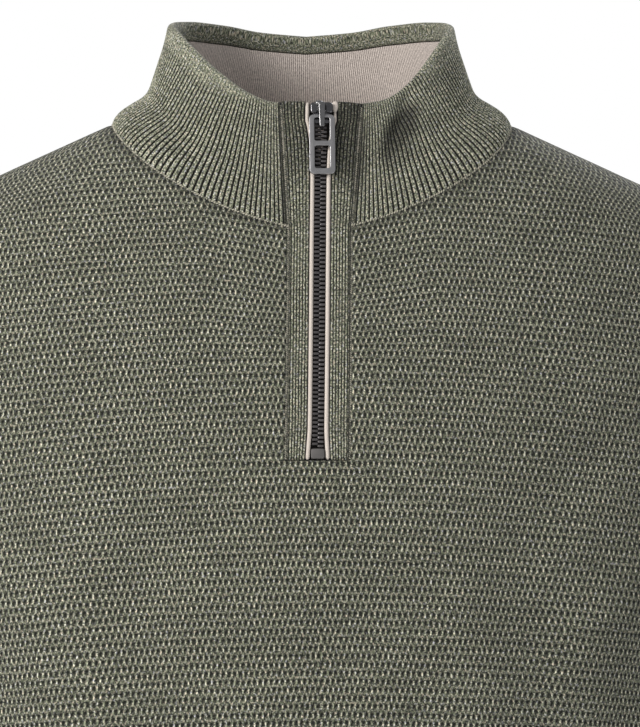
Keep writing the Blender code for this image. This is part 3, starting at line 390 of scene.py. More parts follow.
# Stage
FLOOR_SIZE, FLOOR_Z = 8.0, -0.95
WORLD_COLOUR = (0.97, 0.98, 1.0, 1)
WORLD_LIGHT = 0.46
SENSOR = 36.0
CAMERA_TURN_DEGREES = 2.4
CAMERA_DISTANCE = 2.618
CAMERA_FOCUS = 2.5  # distance at which the view is CAMERA_VIEW_HEIGHT high
CAMERA_VIEW_HEIGHT = 0.349
CAMERA_ASIDE = 0.0045
CAMERA_HEIGHT = -0.120

Lamp = namedtuple("Lamp", "name place aim watts size colour")
LAMPS = (
    Lamp("key", (-2.6, -1.9, 1.25), (0, 0, -0.15), 118, 1.3, (1.0, 0.985, 0.96)),
    Lamp("fill", (1.5, -2.5, -0.55), (0, 0, -0.4), 13, 1.6, (0.96, 0.98, 1.0)),
    Lamp("back", (1.6, 2.6, 1.3), (0, 0, -0.2), 70, 1.8, (0.97, 0.98, 1.0)),
)

# Fields for the flat size that a cloth piece is cut to, in metres; no piece is given one
Cut = namedtuple("Cut", "flat area held rests_on")


def length_setting(name, description, default, least=0.0):
    return bpy.props.FloatProperty(
        name=name, description=description, default=default, min=least,
        subtype="DISTANCE", unit="LENGTH",
    )


def colour_setting(name, description, default):
    return bpy.props.FloatVectorProperty(
        name=name, description=description, default=default,
        size=3, min=0, max=1, subtype="COLOR",
    )


class SweaterSettings(bpy.types.PropertyGroup):
    wale: length_setting(
        "Wale", "Distance between neighbouring eyelets of one course", 0.00267, 0.001)
    course: length_setting(
        "Course", "Distance between neighbouring courses of eyelets", 0.004, 0.001)
    rib_height: length_setting(
        "Rib height", "How far the collar's ribs stand out of their grooves", 0.0008)
    yarn_light: colour_setting(
        "Light yarn", "Lightest fibres of the green yarn", (0.60, 0.59, 0.45))
    yarn_mid: colour_setting("Yarn", "Main colour of the green yarn", (0.225, 0.24, 0.16))
    yarn_dark: colour_setting(
        "Dark yarn", "Darkest fibres of the green yarn", (0.04, 0.045, 0.038))
    jersey: colour_setting("Facing", "Colour of the jersey inside the collar", (0.56, 0.49, 0.445))
    trim: colour_setting("Trim", "Colour of the piping beside the teeth", (0.80, 0.71, 0.63))
    metal: colour_setting("Metal", "Colour of the slider's pull", (0.3, 0.295, 0.3))


def settings():
    return bpy.context.scene.sweater


# Curves and surfaces


def hermite(t, start, end, leaving, arriving, span=1.0):
    """A curve's point a share t of the way, from its ends and its directions there."""
    return (
        start * (1 + 2 * t) * (1 - t) ** 2
        + end * t**2 * (3 - 2 * t)
        + span * (leaving * t * (1 - t) ** 2 - arriving * t**2 * (1 - t))
    )


def smooth(at, rows, column, key="z"):
    """A column of a table as a curve through its rows that doesn't overshoot them."""
    knots = np.array([getattr(row, key) for row in rows], float)
    values = np.array([getattr(row, column) for row in rows], float)
    steps = np.diff(knots)
    slopes = np.diff(values) / steps
    before, after = slopes[:-1], slopes[1:]
    total = np.where(before + after == 0, 1.0, before + after)
    inner = np.where(before * after > 0, 2 * before * after / total, 0.0)
    tangents = joined(slopes[:1], inner, slopes[-1:])
    at = np.clip(np.asarray(at, float), knots[0], knots[-1])
    i = np.clip(np.searchsorted(knots, at, side="right") - 1, 0, len(steps) - 1)
    t = (at - knots[i]) / steps[i]
    return hermite(t, values[i], values[i + 1], tangents[i], tangents[i + 1], steps[i])


def unit(vectors):
    return vectors / np.maximum(np.linalg.norm(vectors, axis=-1, keepdims=True), 1e-9)


def ramp(low, high, value):
    """0 below low, 1 above high, and a soft step between them."""
    t = np.clip((np.asarray(value, float) - low) / (high - low), 0, 1)
    return t * t * (3 - 2 * t)


def joined(*parts, axis=0):
    return np.concatenate(parts, axis=axis)


def lengths(points):
    return joined([0], np.cumsum(np.linalg.norm(np.diff(points, axis=0), axis=1)))


def between(at, knots, rows):
    """The rows of a table at places between its knots."""
    return np.stack([np.interp(at, knots, column) for column in rows.T], axis=1)


def at_shares(points, shares, measured=None):
    """Points at shares of the length of a polyline."""
    distance = lengths(points if measured is None else measured)
    return between(np.asarray(shares) * distance[-1], distance, points)


def body_point(degrees, z):
    """A point of the body's outer face, degrees round from the front centre to the left side."""
    angle = np.radians(degrees)
    sine, cosine = np.sin(angle), np.cos(angle)
    power = 2 / smooth(z, BODY, "squareness")
    depth = np.where(cosine > 0, smooth(z, BODY, "front"), smooth(z, BODY, "back"))
    x = smooth(z, BODY, "half_width") * np.sign(sine) * np.abs(sine) ** power
    y = -depth * np.sign(cosine) * np.abs(cosine) ** power
    return np.stack(np.broadcast_arrays(x, y, z), axis=-1)


def body_inward(degrees, z):
    step = 0.5
    high, low = np.minimum(z + step, 0.0), np.maximum(z - step, HEM_Z)
    round_body = body_point(degrees + step, z) - body_point(degrees - step, z)
    up_body = body_point(degrees, high) - body_point(degrees, low)
    return unit(np.cross(up_body, round_body))


def degrees_of(x, z, back=False):
    share = np.clip(np.abs(x) / smooth(z, BODY, "half_width"), 0, 1)
    degrees = np.degrees(np.arcsin(share ** (smooth(z, BODY, "squareness") / 2)))
    return np.sign(x) * (180 - degrees if back else degrees)


def zip_middle(z):
    return ZIP_LEAN * (np.asarray(z, float) - ZIP_PLUMB_Z)


def neckline(x, back=False):
    drop = NECK_DROP_BACK if back else NECK_DROP_FRONT
    power = NECK_POWER_BACK if back else NECK_POWER_FRONT
    share = np.clip(np.abs(x) / NECK_HALF_WIDTH, 0, 1)
    return -drop * (1 - share**power) ** (1 / power)


def neck_curve(start_x, back, shares):
    """Angles and heights along the left half of the neck seam, from start_x outwards."""
    power = 2 / (NECK_POWER_BACK if back else NECK_POWER_FRONT)
    first = math.asin((abs(start_x) / NECK_HALF_WIDTH) ** (1 / power))
    x = NECK_HALF_WIDTH * np.sin(np.linspace(first, math.pi / 2, CURVE_STEPS)) ** power
    z = neckline(x, back)
    degrees = np.abs(degrees_of(np.maximum(x, 1e-6), z, back))
    return along_surface(degrees, z, shares)


def along_surface(degrees, z, shares):
    both = np.stack([degrees, z], axis=1)
    return at_shares(both, shares, body_point(degrees, z)).T


def armhole(back, shares):
    """Angles and heights along the left armhole, from the underarm up to the shoulder."""
    turn = np.linspace(math.pi, 0, CURVE_STEPS)
    cut = ARMHOLE_BACK_DEGREES if back else ARMHOLE_FRONT_DEGREES
    degrees = 90 + (1 if back else -1) * cut * np.sin(turn)
    z = (SHOULDER_Z + UNDERARM_Z) / 2 + (SHOULDER_Z - UNDERARM_Z) / 2 * np.cos(turn)
    return along_surface(degrees, z, shares)


def evenly(count):
    return np.linspace(0, 1, count + 1)


def on_side(grid, side):
    """A grid made for the left, on the side asked for."""
    return grid * np.array([side, 1.0, 1.0])


def grid_pairs(across, along):
    """UV coordinates from a row and a column, or from two grids."""
    return np.stack(np.broadcast_arrays(across, along), axis=-1)


def folds(x, y, lines):
    """How far the cloth stands out at places on it, from its folds."""
    out = np.zeros(np.broadcast(x, y).shape)
    for f in lines:
        line = np.array([f.to_x - f.x, f.to_y - f.y], float)
        t = np.clip(((x - f.x) * line[0] + (y - f.y) * line[1]) / (line @ line), 0, 1)
        away = np.hypot(x - f.x - t * line[0], y - f.y - t * line[1])
        share = FOLD_ENDS + (1 - FOLD_ENDS) * np.sin(math.pi * t)
        out = out + f.height * np.exp(-((away / f.width) ** 2)) * share
    return out


def rolled(distance, roll=SEAM_ROLL):
    """How far a cloth's face has rolled down at a distance from its edge."""
    reach, drop = roll
    t = np.clip(1 - np.asarray(distance, float) / reach, 0, 1)
    return drop * (1 - np.sqrt(np.clip(1 - t**2, 0, 1)))


def add_lines(grid, row, step):
    """Adds the grid lines of a seam's rolled edge beside a row, on the side that step gives."""
    near, far = grid[row], grid[row + step]
    gap = np.maximum(np.linalg.norm(far - near, axis=-1, keepdims=True), LINE_ROOM * SEAM_LINES[-1])
    lines = [near + (far - near) * (distance / gap) for distance in SEAM_LINES]
    return np.insert(grid, row + 1 if step > 0 else row, lines[::step], axis=0)


def square_to(border, inward, inner):
    if np.allclose(border[0], border[-1]) or len(border) < 3:
        return unit(inner)
    across = unit(np.cross(np.gradient(border, axis=0), inward))
    return across * np.sign(np.sum(across * inner))


def draw_in(grid, inward, rows=(), columns=(), by=SEWN_GAP / 2):
    """Moves the named border rows and columns of a grid towards its middle."""
    moved = grid.copy()
    for axis, named in enumerate((rows, columns)):
        lines, into, out = (part.swapaxes(0, axis) for part in (grid, inward, moved))
        for line in named:
            inner = lines[1 if line == 0 else -2] - lines[line]
            out[line] += by * square_to(lines[line], into[line], inner)
    return moved


def draw_in_rings(grid, inward, rows):
    """Does the same for a grid of closed rings."""
    looped = [joined(part[:, -1:], part, part[:, :1], axis=1) for part in (grid, inward)]
    return draw_in(*looped, rows)[:, 1:-1]


def grid_inward(grid, closed, centre):
    if closed:
        across = np.roll(grid, -1, axis=1) - np.roll(grid, 1, axis=1)
    else:
        across = np.gradient(grid, axis=1)
    inward = unit(np.cross(np.gradient(grid, axis=0), across))
    towards = np.sum(inward * (centre - grid), axis=-1).mean()
    return inward if towards > 0 else -inward


def share_border(points, inward, row, shared):
    """Turns the directions near a border row to the ones shared across its seam."""
    away = np.linalg.norm(points - points[row], axis=-1)[..., None]
    change = (shared - inward[row]) * (1 - ramp(0, INWARD_REACH, away))
    return unit(inward + change)


# Sleeves and cuffs


def ring_points(ring, direction, turns):
    out = np.array([direction[2], 0.0, -direction[0]])
    out = unit(out * np.sign(out[0]))
    fore = unit(np.cross(direction, out))
    fore = fore * -np.sign(fore[1])
    turn = 2 * math.pi * turns[:, None]
    return ring[:3] + ring[3] * np.cos(turn) * out + ring[4] * np.sin(turn) * fore


def tube(rings, before, after, per_span, turns):
    """Rings square to the smooth line through the centres, with their centres, directions and
    distances along it."""
    rings = np.array([before, *rings, after], float)
    tangents = (rings[2:] - rings[:-2]) / 2
    rings = rings[1:-1]
    points, centres, directions = [], [], []
    for i in range(len(rings) - 1):
        for t in np.linspace(0, 1, per_span + 1)[0 if i == 0 else 1:]:
            ring = hermite(t, *rings[i : i + 2], *tangents[i : i + 2])
            slope = (rings[i + 1] - rings[i]) * 6 * t * (1 - t)
            slope = slope + tangents[i] * (1 - t) * (1 - 3 * t) + tangents[i + 1] * t * (3 * t - 2)
            direction = unit(slope[:3])
            points.append(ring_points(ring, direction, turns))
            centres.append(ring[:3])
            directions.append(direction)
    return np.stack(points), np.array(centres), np.array(directions)


def beyond(inner, end):
    return Ring(2 * end.x - inner.x, 2 * end.y - inner.y, 2 * end.z - inner.z, end.across, end.deep)


def sleeve_turns():
    """Places round a sleeve from the shoulder by the front, with lines beside the underarm."""
    whole = np.arange(2 * ARM_ROWS) / (2 * ARM_ROWS)
    beside = np.array(SEAM_LINES) / ARMHOLE_GIRTH
    return np.sort(joined(whole, 0.5 - beside, 0.5 + beside))


def armhole_seam(turns):
    """The left armhole's points at places round it, with the body's directions inwards, and the
    way that its cloth would go on into the sleeve."""
    front = armhole(False, 1 - 2 * turns[turns <= 0.5])
    back = armhole(True, 2 * turns[turns > 0.5] - 1)
    degrees, z = joined(front, back, axis=1)
    points, inward = body_point(degrees, z), body_inward(degrees, z)
    along = np.roll(points, -1, axis=0) - np.roll(points, 1, axis=0)
    onward = unit(np.cross(inward, along))
    return points, inward, onward * np.sign(onward[len(onward) // 4][0])


def sleeve_grids(turns):
    """The left sleeve's outer face, its directions inwards, those on its seam, and distances
    round from the top of the arm and down from the first ring."""
    seam, body_in, onward = armhole_seam(turns)
    first = SLEEVE[0]
    head = Ring(*np.add(first[:3], SLEEVE_HEAD), first.across, first.deep)
    lower, centres, directions = tube(SLEEVE, head, CUFF[1], RINGS_PER_SPAN, turns)
    start = unit(SLEEVE_SET * onward + (1 - SLEEVE_SET) * np.array(SLEEVE_AWAY))
    span = np.linalg.norm(lower[0] - seam, axis=1)[:, None]
    blend = []
    for t in evenly(SLEEVE_BLEND_RINGS)[:-1] ** SLEEVE_BLEND_POWER:
        blend.append(hermite(t, seam, lower[0], start, directions[0], span))
    near = add_lines(np.stack([*blend, lower[0]]), 0, 1)[:-1]
    grid = add_lines(joined(near, lower), -1, -1)
    inward = grid_inward(grid, True, grid.mean(axis=1, keepdims=True))
    shared = unit(unit(inward[0]) + body_in)
    inward = share_border(grid, inward, 0, shared)
    from_ring = lengths(centres)
    last = from_ring[-1] - np.array(SEAM_LINES[::-1])
    from_ring = joined(from_ring[:-1], last, from_ring[-1:])
    down = np.sum((near - centres[0]) * directions[0], axis=-1)
    down = joined(down, from_ring[:, None] + np.zeros(len(turns)))
    rings = [lower[0]] * len(near) + list(grid[len(near) :])
    girth = np.stack([lengths(joined(ring, ring[:1])) for ring in rings])
    side = unit(np.cross(directions[0], [0.0, 1.0, 0.0]))
    level = np.cross(directions[0], side)

    def turned(points):
        away = points - centres[0]
        return np.arctan2(away @ level, away @ side)

    ring_turn = np.unwrap(turned(lower[0]))
    apart = (turned(near) - ring_turn + math.pi) % (2 * math.pi) - math.pi
    girth[: len(near), :-1] += apart * np.gradient(girth[0, :-1], ring_turn)
    return grid, inward, shared, girth, down


# Body panels


def patch(bottom, top, inner, outer):
    """Fills four borders with a grid between them."""
    rows, columns = len(inner), len(bottom)
    v = np.linspace(0, 1, rows)[:, None, None]
    u = np.linspace(0, 1, columns)[None, :, None]
    return (
        (1 - u) * inner[:, None]
        + u * outer[:, None]
        + (1 - v) * bottom[None]
        + v * top[None]
        - (1 - u) * ((1 - v) * bottom[0] + v * top[0])
        - u * ((1 - v) * bottom[-1] + v * top[-1])
    )


TURNS = np.linspace(0, 90, 91)
GIRTH_Z = np.linspace(HEM_Z, 0, 341)


def girth_table(back):
    """Distances round the body from the middle of a panel, for each of GIRTH_Z and TURNS."""
    points = body_point((180 - TURNS if back else TURNS)[None], GIRTH_Z[:, None])
    steps = np.linalg.norm(np.diff(points, axis=1), axis=2)
    return joined(np.zeros((len(GIRTH_Z), 1)), np.cumsum(steps, axis=1), axis=1)


GIRTHS = {back: girth_table(back) for back in (False, True)}


def girths_at(z, back):
    place = np.clip((z - HEM_Z) / (GIRTH_Z[1] - GIRTH_Z[0]), 0, len(GIRTH_Z) - 1.001)
    low = place.astype(int)
    part = (place - low)[:, None]
    return GIRTHS[back][low] * (1 - part) + GIRTHS[back][low + 1] * part


def laid_flat(degrees, z, back):
    """Distances round from the panel's middle, with heights."""
    turned = 180 - degrees if back else degrees
    rows = girths_at(np.asarray(z, float), back)
    girth = [np.interp(turn, TURNS, row) for turn, row in zip(turned, rows)]
    return np.stack([girth, z], axis=1)


def wrapped(flat, back):
    """Angles and heights of a grid that was laid flat, whose left side is positive."""
    girth, rows = np.abs(flat[..., 0].ravel()), girths_at(flat[..., 1].ravel(), back)
    i = np.clip((rows < girth[:, None]).sum(axis=1), 1, len(TURNS) - 1)
    row = np.arange(len(girth))
    low, high = rows[row, i - 1], rows[row, i]
    turned = TURNS[i - 1] + np.clip((girth - low) / (high - low), 0, 1)
    turned = turned.reshape(flat.shape[:-1])
    sign = np.where(flat[..., 0] < 0, -1.0, 1.0)
    return sign * (180 - turned if back else turned), flat[..., 1]


def outer_border(back):
    side_z = np.linspace(HEM_SEAM_Z, UNDERARM_Z, SIDE_ROWS + 1)[:-1]
    arm_degrees, arm_z = armhole(back, evenly(ARM_ROWS))
    return joined(np.full(SIDE_ROWS, 90.0), arm_degrees), joined(side_z, arm_z)


def top_border(start_x, back):
    neck_degrees, neck_z = neck_curve(start_x, back, evenly(NECK_COLUMNS))
    seam_z = np.linspace(0, SHOULDER_Z, SEAM_STEPS)
    quarter = np.full(SEAM_STEPS, 90.0)
    seam_degrees, seam_z = along_surface(quarter, seam_z, evenly(SHOULDER_COLUMNS))
    return joined(neck_degrees, seam_degrees[1:]), joined(neck_z, seam_z[1:])


def inner_heights(top, back):
    stops = ((0, HEM_SEAM_Z), (SIDE_ROWS, UNDERARM_Z - PANEL_DIP), (SIDE_ROWS + ARM_ROWS, top))
    if not back:
        stops = (*stops[:2], (FOOT_ROW, ZIP_BOTTOM_Z - SEAM_GAP), stops[2])
    rows, heights = zip(*stops)
    return np.interp(np.arange(rows[-1] + 1), rows, heights)


def placket_edge(side):
    return PLACKET_HALF + SEAM_GAP + side * float(zip_middle(-NECK_DROP_FRONT))


def half_panel(side, back):
    """One half of a panel laid flat, from its middle, or the placket, to its side seam."""
    start_x = 0.0 if back else placket_edge(side)
    top_degrees, top_z = top_border(start_x, back)
    z = inner_heights(top_z[0], back)
    if back:
        degrees = np.full(len(z), 180.0)
    else:
        x = PLACKET_HALF + SEAM_GAP + side * zip_middle(z)
        x[-1] = start_x
        degrees = degrees_of(x, z)
    inner = laid_flat(degrees, z, back)
    outer = laid_flat(*outer_border(back), back)
    top = laid_flat(top_degrees, top_z, back)
    bottom = np.linspace(inner[0], outer[0], HALF_COLUMNS + 1)
    return patch(bottom, top, inner, outer) * np.array([side, 1])


def flat_panel(back):
    """A whole panel laid flat, with its row at the foot of the zip, its row at the underarm, and
    its middle column, or the one at the right of the placket."""
    right, left = half_panel(-1, back)[:, ::-1], half_panel(1, back)
    lines = len(SEAM_LINES)
    if back:
        grid = joined(right, left[:, 1:], axis=1)
    else:
        inner = evenly(STRIP_COLUMNS)[1:-1]
        strip = [right[:, -1] + (left[:, 0] - right[:, -1]) * t for t in inner]
        grid = joined(right, np.stack(strip, axis=1), left, axis=1)
    columns = grid.swapaxes(0, 1)
    count = len(columns)
    if not back:
        columns = add_lines(columns, count - HALF_COLUMNS - 1, 1)
        columns = add_lines(columns, HALF_COLUMNS, -1)
    columns = add_lines(columns, len(columns) - 1, -1)
    columns = add_lines(columns, 0, 1)
    grid = columns.swapaxes(0, 1)
    foot, arm = FOOT_ROW, SIDE_ROWS
    grid = add_lines(grid, 0, 1)
    foot, arm = foot + lines, arm + lines
    if not back:
        grid = add_lines(grid, foot, -1)
        foot += lines
    grid = add_lines(grid, len(grid) - 1, -1)
    return grid, foot, arm, lines + HALF_COLUMNS + (0 if back else lines)


def edge_distance(flat, grid_border):
    """Distance of each point from a border line, on the flat cloth."""
    points = flat.reshape(-1, 2)
    away = np.full(len(points), 1e9)
    for a, b in zip(grid_border[:-1], grid_border[1:]):
        line = b - a
        t = np.clip((points - a) @ line / max(line @ line, 1e-9), 0, 1)
        away = np.minimum(away, np.linalg.norm(points - a - t[:, None] * line, axis=1))
    return away.reshape(flat.shape[:-1])


def course_lines(girth, z):
    """Where the knit's wales and courses run on a panel: they arch a little over the chest, turn
    down beside the placket, and follow the shoulders near their seams."""
    side = np.abs(girth)
    arch = CHEST_ARCH * np.minimum(side, CHEST_ARCH_SIDE) ** 2
    over = np.maximum(side * SHOULDER_SHARE - NECK_HALF_WIDTH, 0)
    depth = -SHOULDER_SLOPE * over - z
    near = 1 - ramp(*SHOULDER_DEPTHS, depth)
    placket = PLACKET_TURN * np.maximum(PLACKET_TURN_SIDE - side, 0) * ramp(*PLACKET_TURN_Z, z)
    steps = np.arange(0, LEAN_DEPTH + LEAN_STEP, LEAN_STEP)
    reach = np.cumsum((1 - ramp(*SHOULDER_DEPTHS, steps[:-1])) * LEAN_STEP)
    reach = np.interp(np.clip(depth, 0, LEAN_DEPTH), steps, joined([0], reach))
    lean = SHOULDER_LEAN * reach * ramp(*LEAN_SIDES, side)
    steps = np.arange(0, WALE_SIDE, WALE_STEP)
    wider = WIDER_WALES * np.exp(-(((steps - WIDEST_SIDE) / WIDER_REACH) ** 2))
    wider = wider + WIDER_OUTSIDE * ramp(*OUTSIDE_SIDES, steps)
    spread = np.interp(side, steps, np.cumsum(wider) * WALE_STEP)
    close = CLOSER_COURSES * np.clip((z - CLOSER_Z) / CLOSER_REACH, 0, None) ** CLOSER_POWER
    rise = arch + SHOULDER_RISE * over * near + placket + close
    return girth + np.sign(girth) * (lean - spread), z + rise


def gathers(degrees, z):
    """The body's soft gathers over the hem band, round the whole body."""
    turn = np.radians(degrees)
    waves = sum(wave.size * np.sin(wave.count * turn + wave.start) for wave in HEM_WAVES)
    share = ramp(*GATHER_Z, z) * ramp(HEM_Z - GATHER_UNDER, HEM_SEAM_Z, z)
    return GATHER_HEIGHT * share * waves


def along_seam(border, own, known, total):
    """The directions known at equal distances over the first total mm of a border, and beyond
    them the border's own."""
    share = lengths(border) / total
    shared = unit(between(share, evenly(len(known) - 1), known))
    return np.where(share[:, None] < 1.001, shared, own)


def panel(back, seam_in, neck_in):
    """A panel's places laid flat, with its angles, points and directions inwards. seam_in and
    neck_in are the directions shared with the sleeves and the collar."""
    flat, foot, arm, slit = flat_panel(back)
    degrees, z = wrapped(flat, back)
    points, inward = body_point(degrees, z), body_inward(degrees, z)
    across, turned = points.swapaxes(0, 1), inward.swapaxes(0, 1)
    for column, side in ((-1, 1), (0, -1)):
        border = turned[column].copy()
        armhole_line = across[column][arm:]
        total = lengths(armhole_line)[-1]
        border[arm:] = along_seam(armhole_line, border[arm:], on_side(seam_in, side), total)
        turned = share_border(across, turned, column, border)
    inward = turned.swapaxes(0, 1)
    top, shared = points[-1], inward[-1].copy()
    left = slit if back else slit + STRIP_COLUMNS
    for side, order in ((1, slice(left, None)), (-1, slice(slit, None, -1))):
        start = 0.0 if back else placket_edge(side)
        total = lengths(body_point(*neck_curve(start, back, evenly(SEAM_STEPS))))[-1]
        shared[order] = along_seam(top[order], shared[order], neck_in[back][side], total)
    return flat, degrees, points, share_border(points, inward, -1, shared), foot, slit


def make_panel(name, back, seam_in, neck_in):
    flat, degrees, points, inward, foot, slit = panel(back, seam_in, neck_in)
    girth, z = flat[..., 0], flat[..., 1]
    sides = np.minimum(edge_distance(flat, flat[:, -1]), edge_distance(flat, flat[:, 0]))
    upper = edge_distance(flat, flat[-1, slit + (0 if back else STRIP_COLUMNS) :])
    upper = np.minimum(upper, edge_distance(flat, flat[-1, : slit + 1]))
    inner = ramp(0, SEAM_CALM, np.minimum(sides, upper))
    inner = inner * ramp(HEM_SEAM_Z, HEM_SEAM_Z + HEM_CALM, z)
    roll = np.maximum(rolled(sides), rolled(upper))
    roll = np.maximum(roll, rolled(z - HEM_SEAM_Z, RIB_SEAM_ROLL))
    kept = np.ones((flat.shape[0] - 1, flat.shape[1] - 1), bool)
    if not back:
        beside = np.abs(points[..., 0] - zip_middle(z)) - PLACKET_HALF - SEAM_GAP
        below = np.maximum(ZIP_BOTTOM_Z - SEAM_GAP - z, 0)
        away = np.hypot(np.maximum(beside, 0), below)
        inner = inner * ramp(0, PLACKET_CALM, away)
        roll = np.maximum(roll, rolled(away, PANEL_ROLL))
        kept[foot:, slit : slit + STRIP_COLUMNS] = False
    drape = PANEL_DRAPE * folds(girth, z, BACK_FOLDS if back else FRONT_FOLDS) * inner
    drape = drape + smooth(z, BLOUSE, "out") + gathers(degrees, z)
    cloth = draw_in(points, inward, (0, -1), (0, -1)) - inward * drape[..., None]
    outer = cloth + inward * roll[..., None]
    places = np.stack(course_lines(girth, z), axis=-1)
    # painted shade beside the neck and shoulder seams, on the outer face only
    seam_shade_field = {"tightness": (ramp(*SEAM_SHADE_REACH, upper), 0 * z)}
    return shell(name, outer, cloth + inward * KNIT, places, kept=kept, fields=seam_shade_field)


# Meshes


def shell(name, outer, under, places, kept=None, closed=False, ribs=None, fields=None):
    """A cloth sheet with two faces, from two grids of points. places are its UV coordinates in
    millimetres along the knit, and ribs are rib numbers, with distances along them."""
    rows, columns = outer.shape[:2]
    cells = columns if closed else columns - 1
    if kept is None:
        kept = np.ones((rows - 1, cells), bool)
    i, j = np.nonzero(kept)
    corners = ((i, j), (i, j + 1), (i + 1, j + 1), (i + 1, j))

    def index(row, column, under_face):
        return (np.asarray(under_face) * rows + row) * columns + column % columns

    faces = [np.stack([index(r, c, 0) for r, c in corners], axis=1)]
    uv_index = [np.stack([r * (cells + 1) + c for r, c in corners], axis=1)]
    faces.append(np.stack([index(r, c, 1) for r, c in corners[::-1]], axis=1))
    uv_index.append(uv_index[0][:, ::-1])
    padded = np.pad(kept, 1)
    if closed:
        padded[1:-1, 0], padded[1:-1, -1] = kept[:, -1], kept[:, 0]
    for n, (down, right) in enumerate(((-1, 0), (0, 1), (1, 0), (0, -1))):
        bare = ~padded[i + 1 + down, j + 1 + right]
        r, c = (part[bare] for part in corners[n])
        s, d = (part[bare] for part in corners[(n + 1) % 4])
        quad = index(s, d, 0), index(r, c, 0), index(r, c, 1), index(s, d, 1)
        faces.append(np.stack(quad, axis=1))
        one, other = r * (cells + 1) + c, s * (cells + 1) + d
        uv_index.append(np.stack([other, one, one, other], axis=1))
    faces, uv_index = np.concatenate(faces), np.concatenate(uv_index)
    points = joined(outer.reshape(-1, 3), under.reshape(-1, 3))
    used, compact = np.unique(faces, return_inverse=True)
    faces = compact.reshape(faces.shape)
    points = points[used]
    quads = points[faces]
    normals = np.cross(quads[:, 2] - quads[:, 0], quads[:, 3] - quads[:, 1])
    if np.sum(normals * quads.mean(axis=1)) < 0:
        faces, uv_index = faces[:, ::-1], uv_index[:, ::-1]
    data = mesh_of(name, points * MM, faces)
    for layer, grid in (("knit", places), ("ribs", ribs)):
        if grid is not None:
            made = data.uv_layers.new(name=layer)
            made.data.foreach_set("uv", grid.reshape(-1, 2)[uv_index.ravel()].ravel())
    for label, values in (fields or {}).items():
        both = np.concatenate([np.asarray(part, float).ravel() for part in values])
        data.attributes.new(label, "FLOAT", "POINT").data.foreach_set("value", both[used])
    data.set_sharp_from_angle(angle=math.radians(CLOTH_SHARP_DEGREES))
    return add_piece(name, data)


def mesh_of(name, points, faces):
    """A smooth-shaded mesh of faces that all have the same number of corners."""
    data = bpy.data.meshes.new(name)
    count, corners = faces.shape
    data.vertices.add(len(points))
    data.vertices.foreach_set("co", np.ascontiguousarray(points, np.float32).ravel())
    data.loops.add(count * corners)
    data.loops.foreach_set("vertex_index", np.ascontiguousarray(faces, np.int32).ravel())
    data.polygons.add(count)
    data.polygons.foreach_set("loop_start", np.arange(0, count * corners, corners, dtype=np.int32))
    data.update(calc_edges=True)
    data.shade_smooth()
    return data


def add_piece(name, data):
    made = bpy.data.objects.new(name, data)
    bpy.context.scene.collection.objects.link(made)
    return made


def copies(name, pattern, frames):
    """One mesh of a pattern mesh repeated at each of the frames."""
    points = np.array([v.co for v in pattern.vertices], float)
    pattern.calc_loop_triangles()
    faces = np.array([t.vertices[:] for t in pattern.loop_triangles])
    turned = np.einsum("nij,kj->nki", frames[:, :3, :3], points) + frames[:, None, :3, 3]
    shifts = np.arange(len(frames))[:, None, None] * len(points)
    return mesh_of(name, turned.reshape(-1, 3), (faces[None] + shifts).reshape(-1, 3))


def frames_of(points, across, along, out):
    """A frame at each point, in metres, from three directions."""
    frames = np.zeros((len(points), 4, 4))
    for k, directions in enumerate((across, along, out)):
        frames[:, :3, k] = directions
    frames[:, :3, 3] = points * MM
    frames[:, 3, 3] = 1
    return frames


# Rib bands


def rib_line(count, profile=RIB):
    """Places across a row of ribs, as rib numbers, with the height of the cloth at each."""
    numbers = [rib + point.place for rib in range(count) for point in profile]
    heights = [point.height for point in profile] * count
    return np.array([*numbers, count]), np.array([*heights, profile[0].height])


def stretch(low, high, count):
    """Evenly spaced places from low to high, with a seam's lines beside both ends."""
    places = np.linspace(low, high, count + 1)
    even = places[(np.abs(places - low) > SEAM_CLEAR) & (np.abs(places - high) > SEAM_CLEAR)]
    lines = np.array(SEAM_LINES) * np.sign(high - low)
    return joined([low], low + lines, even, high - lines[::-1], [high])


def make_band(name, points, inward, relief, from_seam, from_edge, places, ribs, closed=False):
    """A plain rib band, rounded at its seam and at its free edge."""
    free = rolled(from_edge, FREE_ROLL)
    out = relief - np.maximum(rolled(from_seam, RIB_SEAM_ROLL), free)
    outer, under = points - inward * out[..., None], points + inward * (KNIT - free)[..., None]
    # the outer face has full painted groove shade; the inner face, at 0, gets painted shade all
    # over
    fields = {"rib_strength": (0 * out + 1, 0 * out)}
    return shell(name, outer, under, places, closed=closed, ribs=ribs, fields=fields)


def make_hem(name, back):
    numbers, height = rib_line(HEM_RIBS, FLAT_RIB)
    half = girths_at(np.array([HEM_SEAM_Z]), back)[0, -1]
    girth = (2 * numbers / HEM_RIBS - 1) * half
    degrees, _ = wrapped(grid_pairs(girth, HEM_SEAM_Z), back)
    z = stretch(HEM_SEAM_Z, HEM_Z, HEM_ROWS)[:, None]
    degrees, z = np.broadcast_arrays(degrees[None], z)
    points, inward = body_point(degrees, z), body_inward(degrees, z)
    points = draw_in(points, inward, (0,), (0, -1)) - inward * gathers(degrees, z)[..., None]
    relief = HEM_RIB_HEIGHT * (height[None] - BAND_RIB_LEVEL)
    places, ribs = grid_pairs(girth[None], z), grid_pairs(numbers[None], z)
    return make_band(name, points, inward, relief, HEM_SEAM_Z - z, z - HEM_Z, places, ribs)


